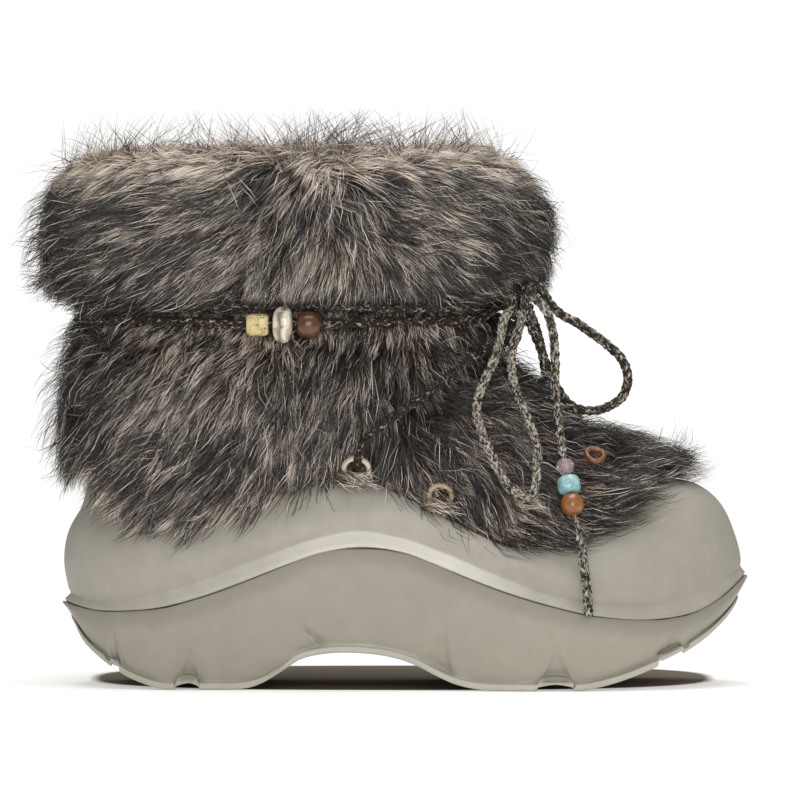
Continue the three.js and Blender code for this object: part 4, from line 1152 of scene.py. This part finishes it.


# %% [markdown]
# An acrylic fibre is thin and a little shiny. It would take millions to cover the boot, so each ribbon is a
# few times wider than a fibre and stands for several. It is dark at its root, as painted shade from the strands
# around it, palest past its middle, where the pale fibre gets a painted highlight, and dark again at its tip,
# as the fibre is. This gives the fur its depth.

# %% Ribbons of fibre
def ribbons(name, strands, width, marks, material, facing, fine=True):
    """One mesh of flat tapering ribbons: five triangles each, or three where they aren't fine.
    marks are two numbers for each strand."""
    if not fine:
        strands = np.stack([strands[:, 0], (strands[:, 1] + strands[:, 2]) / 2, strands[:, 3]], axis=1)
    count, rows = strands.shape[:2]
    along = np.gradient(strands, axis=1)
    across = np.cross(along, facing[:, None])
    across += rng.normal(0, 0.3, (count, 1, 3)) * np.linalg.norm(across, axis=2, keepdims=True)
    across /= np.linalg.norm(across, axis=2, keepdims=True) + 1e-9
    taper = np.interp(np.arange(rows) / (rows - 1), [0, 0.4, 0.7, 1], [1, 1, 0.65, 0])
    half = across * (width[:, None] / 2 * taper)[:, :, None]
    pairs = np.stack([strands[:, :-1] + half[:, :-1], strands[:, :-1] - half[:, :-1]], axis=2)
    verts = np.concatenate([pairs.reshape(count, -1, 3), strands[:, -1:]], axis=1)
    each = verts.shape[1]
    base = (np.arange(count) * each)[:, None]
    quads = np.concatenate([base + np.array([0, 1, 3, 2]) + 2 * k for k in range(rows - 2)], axis=1).reshape(-1, 4)
    tris = base + np.array([each - 3, each - 2, each - 1])
    t = np.append(np.repeat(np.arange(rows - 1), 2), rows - 1) / (rows - 1)
    mark = np.empty((count, each, 3))
    mark[:, :, 0] = t
    mark[:, :, 1:] = marks[:, None, :]
    cells = int(math.ceil(math.sqrt(count)))
    column, row = np.arange(count) % cells, np.arange(count) // cells
    side = np.append(np.tile([0, 1], rows - 1), 0.5)
    u = (column[:, None] + 0.1 + 0.8 * side) / cells
    v = (row[:, None] + 0.1 + 0.8 * t) / cells
    return mesh_from_arrays(name, (verts + LAST_TO_FRAME).reshape(-1, 3), quads, tris, material,
                            mark.reshape(-1, 3), np.stack([u, v], axis=2).reshape(-1, 2))


def fur_material():
    """Acrylic pile: the strand attribute holds the way along, the shade of the tuft, and the strand's own shade."""
    made, tree, shader = new_material("acrylic_fur_pile", 0.45, Specular_IOR_Level=0.5)
    mark = add(tree, "ShaderNodeAttribute", attribute_name="strand").outputs["Vector"]
    parts = add(tree, "ShaderNodeSeparateXYZ", {"Vector": mark}).outputs
    # The dark root of both ramps is painted shade, and the pale ramp's peak at 0.75 is a painted highlight.
    dark = add(tree, "ShaderNodeValToRGB", {"Fac": parts["X"]},
               [(0.0, "#14110f"), (0.35, "#2f2823"), (0.7, "#141210"), (1.0, "#060606")]).outputs["Color"]
    pale = add(tree, "ShaderNodeValToRGB", {"Fac": parts["X"]},
               [(0.0, "#493b30"), (0.35, "#b09c88"), (0.75, "#f1e3d3"), (1.0, "#6d5f53")]).outputs["Color"]
    shade = add(tree, "ShaderNodeMath", {0: parts["Z"], 1: 0.72, 2: parts["Y"]}, operation="MULTIPLY_ADD").outputs[0]
    pick = add(tree, "ShaderNodeMapRange", {"Value": shade, "From Min": 0.66, "From Max": 1.22}).outputs["Result"]
    dyed = add(tree, "ShaderNodeMix", {"Factor": pick, MIX_LOW: dark, MIX_HIGH: pale}, data_type="RGBA")
    into(tree, shader, Base_Color=dyed.outputs[MIX_OUT])
    return made


FUR = fur_material()


def press(full, length, lift):
    """Flattens and shortens the pile beside the lace."""
    _, away = nearest(LACE_POINTS, full)
    free = smooth((away - 3.5) / 8)
    return length * (0.4 + 0.6 * free), lift * (0.3 + 0.7 * free)


def add_fur(name, strands, width, marks, facing, fine=True):
    made = ribbons(name, strands, width, marks, FUR, facing, fine)
    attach(made, "root")
    print(name, len(strands), "strands")
    return made


print("fur look", FUR.name)


# %% [markdown]
# The pile is longest over the sides, shorter beside the lace and at the shell's edge, and lies flatter behind
# the heel. A third of the strands get the finer ribbon. Tufts share a shade, so the fur clumps by colour too.

# %% Pile
root, full, normal = scatter(
    backing, places, normals, STRANDS["outside"], out & (above > 1.5),
    weight=lambda p: 1 + 0.5 * smooth((p[:, 2] - 160) / 10))
z = full[:, 2]
upper = z > WAIST_Z
over = z - throat_height(full[:, 0])
near_waist = 1 - smooth((np.abs(z - WAIST_Z) - 6) / 12)
rim = smooth((z - 212) / 10)
behind = smooth((-22 - full[:, 0]) / 16) * (1 - smooth((over - 4) / 16))
length = rng.uniform(15, 27, len(root)) * (1 - 0.4 * near_waist) * (1 - 0.15 * rim)
length *= 0.62 + 0.38 * smooth((over - 2) / 12) + 0.4 * behind
at_toe = smooth((full[:, 0] - 55) / 30) * smooth((130 - z) / 15)
lift = rng.uniform(28, 56, len(root)) * (1 - 0.35 * behind) * (1 + 0.25 * at_toe)
length *= 1 - 0.22 * smooth((-112 - full[:, 0]) / 25)
lift *= 1 - 0.45 * smooth((-95 - full[:, 0]) / 30) - 0.25 * smooth((full[:, 0] - 40) / 15) * upper
length, lift = press(full, length, lift)
strands = bend(root, full, normal, length, lift)
tuft = tufts(strands, 3.8, rng.uniform(0.35, 0.92, len(root)))
over_cord = 160.5 - 7 * smooth((-108 - full[:, 0]) / 18)
strands = parted(strands, upper, over_cord, rng.normal(222.5, 3, len(root)), 153.5)
held_in(strands, upper)
clear_of_shell(strands)
patch = patched(full) + waves(full, 9, 9) * 0.1
pale_rim = 0.36 * rim + 0.3 * smooth((13 - over) / 10)
shade = np.clip(0.26 + 0.62 * tuft_shades(tuft, 11) + 1.15 * patch + pale_rim, 0, 1)
marks = np.stack([shade, rng.random(len(root))], axis=1)
width = rng.uniform(0.26, 0.46, len(root))
order = rng.permutation(len(root))
for part, chosen in enumerate(np.array_split(order[:STRANDS["fine"]], 2)):
    add_fur(f"fur_top_{part + 1}", strands[chosen], width[chosen] * 0.9, marks[chosen], normal[chosen])
for part, chosen in enumerate(np.array_split(order[STRANDS["fine"]:], 2)):
    add_fur(f"fur_pile_{part + 1}", strands[chosen], width[chosen], marks[chosen], normal[chosen], fine=False)
print("pile strands", len(root), "tufts", int(tuft.max()) + 1)


# %% [markdown]
# Inside the collar the boot is lined with a short dense fleece, paler than the fur. The same strands make it,
# only shorter, steeper and without a comb.

# %% Fleece lining
root, full, normal = scatter(backing, places, normals, STRANDS["lining"],
                             (~out | (places[:, 2] > 214)) & (places[:, 2] > 120),
                             weight=lambda p: 1 + 2.5 * smooth((p[:, 2] - 195) / 12))
strands = bend(root, full, normal, rng.uniform(5, 8, len(root)), rng.uniform(45, 80, len(root)),
               direction=rng.normal(0, 1, root.shape) + np.array([0, 0, 0.4]), droop=0)
tuft = tufts(strands, 3.0, np.full(len(root), 0.7))
marks = np.stack([0.55 + 0.3 * tuft_shades(tuft, 12), rng.random(len(root))], axis=1)
add_fur("fleece_lining", strands, rng.uniform(0.4, 0.6, len(root)), marks, normal, fine=False)


# %% [markdown]
# Guard hairs are the long ones that stand out of the pile and roughen its outline. Most are dark, and one in
# six is pale.

# %% Guard hairs
def guard_weight(p):
    """Guard hairs are dense at the toe, at the back and front edges, and just over the waist, and rare at the top."""
    edges = 1.4 * smooth((p[:, 0] - 60) / 20) + 0.4 * smooth((np.abs(p[:, 0] + 47) - 80) / 18)
    over_waist = smooth((8 - np.abs(p[:, 2] - 168)) / 8)
    return (0.7 + edges + over_waist) * (1 - 0.93 * smooth((p[:, 2] - 206) / 12))


root, full, normal = scatter(
    backing, places, normals, STRANDS["guard"], out & (above > 2), weight=guard_weight)
upper = full[:, 2] > WAIST_Z
up = smooth((full[:, 2] - 205) / 16)
at_toe = smooth((full[:, 0] - 62) / 24) * smooth((130 - full[:, 2]) / 15)
way = combed(full) + by_cell(full, 8.0, 41) * 0.35 + at_toe[:, None] * np.array([0.8, 0, 0.5])
length, lift = press(full, rng.uniform(19, 33, len(root)), rng.uniform(34, 68, len(root)) * (1 - 0.2 * up))
near_waist = 1 - smooth((np.abs(full[:, 2] - WAIST_Z) - 5) / 10)
strands = bend(root, full, normal, length * (1 - 0.35 * near_waist), lift, direction=way, droop=0.12)
tuft = tufts(strands, 7.0, rng.uniform(0.2, 0.8, len(root)))
over_cord = 157.0 - 16 * smooth((-98 - full[:, 0]) / 18)
strands = parted(strands, upper, over_cord, 236 - np.abs(rng.normal(0, 8, len(root))), 155.0)
held = np.nonzero(rng.random(len(root)) < 0.8)[0]
kept_in = strands[held]
held_in(kept_in, upper[held])
strands[held] = kept_in
clear_of_shell(strands)
pale = rng.random(len(root)) < 0.16
marks = np.stack([np.where(pale, 0.85, rng.uniform(0.0, 0.2, len(root))), rng.random(len(root)) * 0.5], axis=1)
add_fur("guard_hairs", strands, rng.uniform(0.24, 0.4, len(root)), marks, normal)


# %% [markdown]
# A few long hairs rise above the rim in bunches, and some lie over the lower parts of the eyelet rings, as
# they do once a boot has been handled. Both are sparse, so they are made last, as small pieces of their own.

# %% Hairs over the rim and the rings
def rim_weight(p):
    return smooth((p[:, 2] - 204) / 12) * (0.14 + np.maximum(waves(p, 24, 61), 0) ** 1.6)


root, full, normal = scatter(backing, places, normals, STRANDS["rim"], out & (places[:, 2] > 204), weight=rim_weight)
outwards = normal * np.array([1, 1, 0])
way = np.array([0, 0, 1.0]) + outwards * 0.5 + by_cell(full, 9.0, 51) * 0.6
strands = bend(root, full, normal, rng.uniform(26, 50, len(root)), rng.uniform(10, 40, len(root)), direction=way,
               droop=0.0)
straight = root[:, None] + (strands[:, 3:] - root[:, None]) * (np.arange(4) / 3)[None, :, None]
strands = 0.35 * strands + 0.65 * straight
tuft = tufts(strands, 9.0, rng.uniform(0.0, 0.6, len(root)))
strands = limited(strands, 161.5, HIGHEST - np.abs(rng.normal(0, 5, len(root))))
marks = np.stack([np.where(rng.random(len(root)) < 0.35, 0.9, 0.05), rng.random(len(root)) * 0.6], axis=1)
add_fur("rim_hairs", strands, rng.uniform(0.16, 0.28, len(root)), marks, normal)

strands, normal = over_rings(130)
marks = np.stack([rng.uniform(0.15, 0.9, len(strands)), rng.random(len(strands))], axis=1)
add_fur("hairs_over_rings", strands, rng.uniform(0.26, 0.4, len(strands)), marks, normal)


# %% [markdown]
# The boot stands on white paper under soft studio light: a large light hangs over it and a second one stands
# far in front. The surround is bright where the camera sees it and weaker as a light. A soft light makes too
# weak a shadow under a sole that stands clear of the floor at both ends, so a shadow is painted on the paper
# there, a squarish oval that reaches out behind the boot, and outside it the paper glows a little.

# %% Floor and light
FLOOR_RADIUS, FLOOR_Z = 0.85, -0.0002
SHADOW_HALF = (0.133, 0.092)  # half the oval's length and width, m
SHADOW_SHIFT = (-0.03, -0.543)  # how far it is moved, in its own half lengths
SHADOW_SQUARE = 2.6  # 2 is an ellipse, and more is squarer
SEEN_WHITE, LIT_WHITE = 1.05, 0.4

bpy.ops.mesh.primitive_circle_add(vertices=96, radius=FLOOR_RADIUS, fill_type="NGON", location=(0, 0, FLOOR_Z))
floor = bpy.context.object
floor.name = "floor"
paper, tree, shader = new_material("white_paper_painted_shadow", 0.9, Specular_IOR_Level=0.0, Emission_Strength=0.3)
floor.data.materials.append(paper)
place = add(tree, "ShaderNodeTexCoord").outputs["Object"]
oval = add(tree, "ShaderNodeMapping", {
    "Vector": place, "Location": (*SHADOW_SHIFT, 0), "Scale": (1 / SHADOW_HALF[0], 1 / SHADOW_HALF[1], 1)})
sides = add(tree, "ShaderNodeSeparateXYZ", {"Vector": oval.outputs["Vector"]}).outputs
raised = []
for side in (sides["X"], sides["Y"]):
    size = add(tree, "ShaderNodeMath", {0: side}, operation="ABSOLUTE").outputs[0]
    raised.append(add(tree, "ShaderNodeMath", {0: size, 1: SHADOW_SQUARE}, operation="POWER").outputs[0])
away = add(tree, "ShaderNodeMath", {0: raised[0], 1: raised[1]}, operation="ADD").outputs[0]
# Painted shadow: the oval darkens the paper's colour, and the paper's glow is dimmed within it.
shaded = add(tree, "ShaderNodeValToRGB", {"Fac": away}, [(0.3, "#6f665a"), (0.9, "#777063"), (1.0, "#f4f3f1")])
glowing = add(tree, "ShaderNodeValToRGB", {"Fac": away}, [(0.9, "#191714"), (1.0, "#ffffff")])
into(tree, shader, Base_Color=shaded.outputs["Color"], Emission_Color=glowing.outputs["Color"])
floor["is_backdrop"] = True

scene = bpy.context.scene
scene.view_settings.view_transform = "Standard"
world = bpy.data.worlds.new("white_surround")
world.use_nodes = True
sky = world.node_tree.nodes["Background"]
seen = add(world.node_tree, "ShaderNodeLightPath").outputs["Is Camera Ray"]
power = add(world.node_tree, "ShaderNodeMapRange", {"Value": seen, "To Min": LIT_WHITE, "To Max": SEEN_WHITE})
sky.inputs["Color"].default_value = (1, 1, 1, 1)
world.node_tree.links.new(power.outputs["Result"], sky.inputs["Strength"])
scene.world = world


def soft_light(name, place, look_at, size, watts):
    bpy.ops.object.light_add(type="AREA", location=place)
    light = bpy.context.object
    light.name = name
    light.data.size = size
    light.data.energy = watts
    light.rotation_euler = (Vector(look_at) - Vector(place)).to_track_quat("-Z", "Y").to_euler()


soft_light("overhead", (0.0, -0.1, 1.5), (0, 0, 0), 1.1, 16)
soft_light("front", (0.1, -2.4, 0.6), (0, 0, 0.1), 1.3, 23)
print("floor radius m", FLOOR_RADIUS, "shadow half sizes m", SHADOW_HALF)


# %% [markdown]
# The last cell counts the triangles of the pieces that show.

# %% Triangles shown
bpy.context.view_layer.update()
total = sum(len(p.vertices) - 2 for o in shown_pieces() for p in o.data.polygons)
print("triangles shown", total)
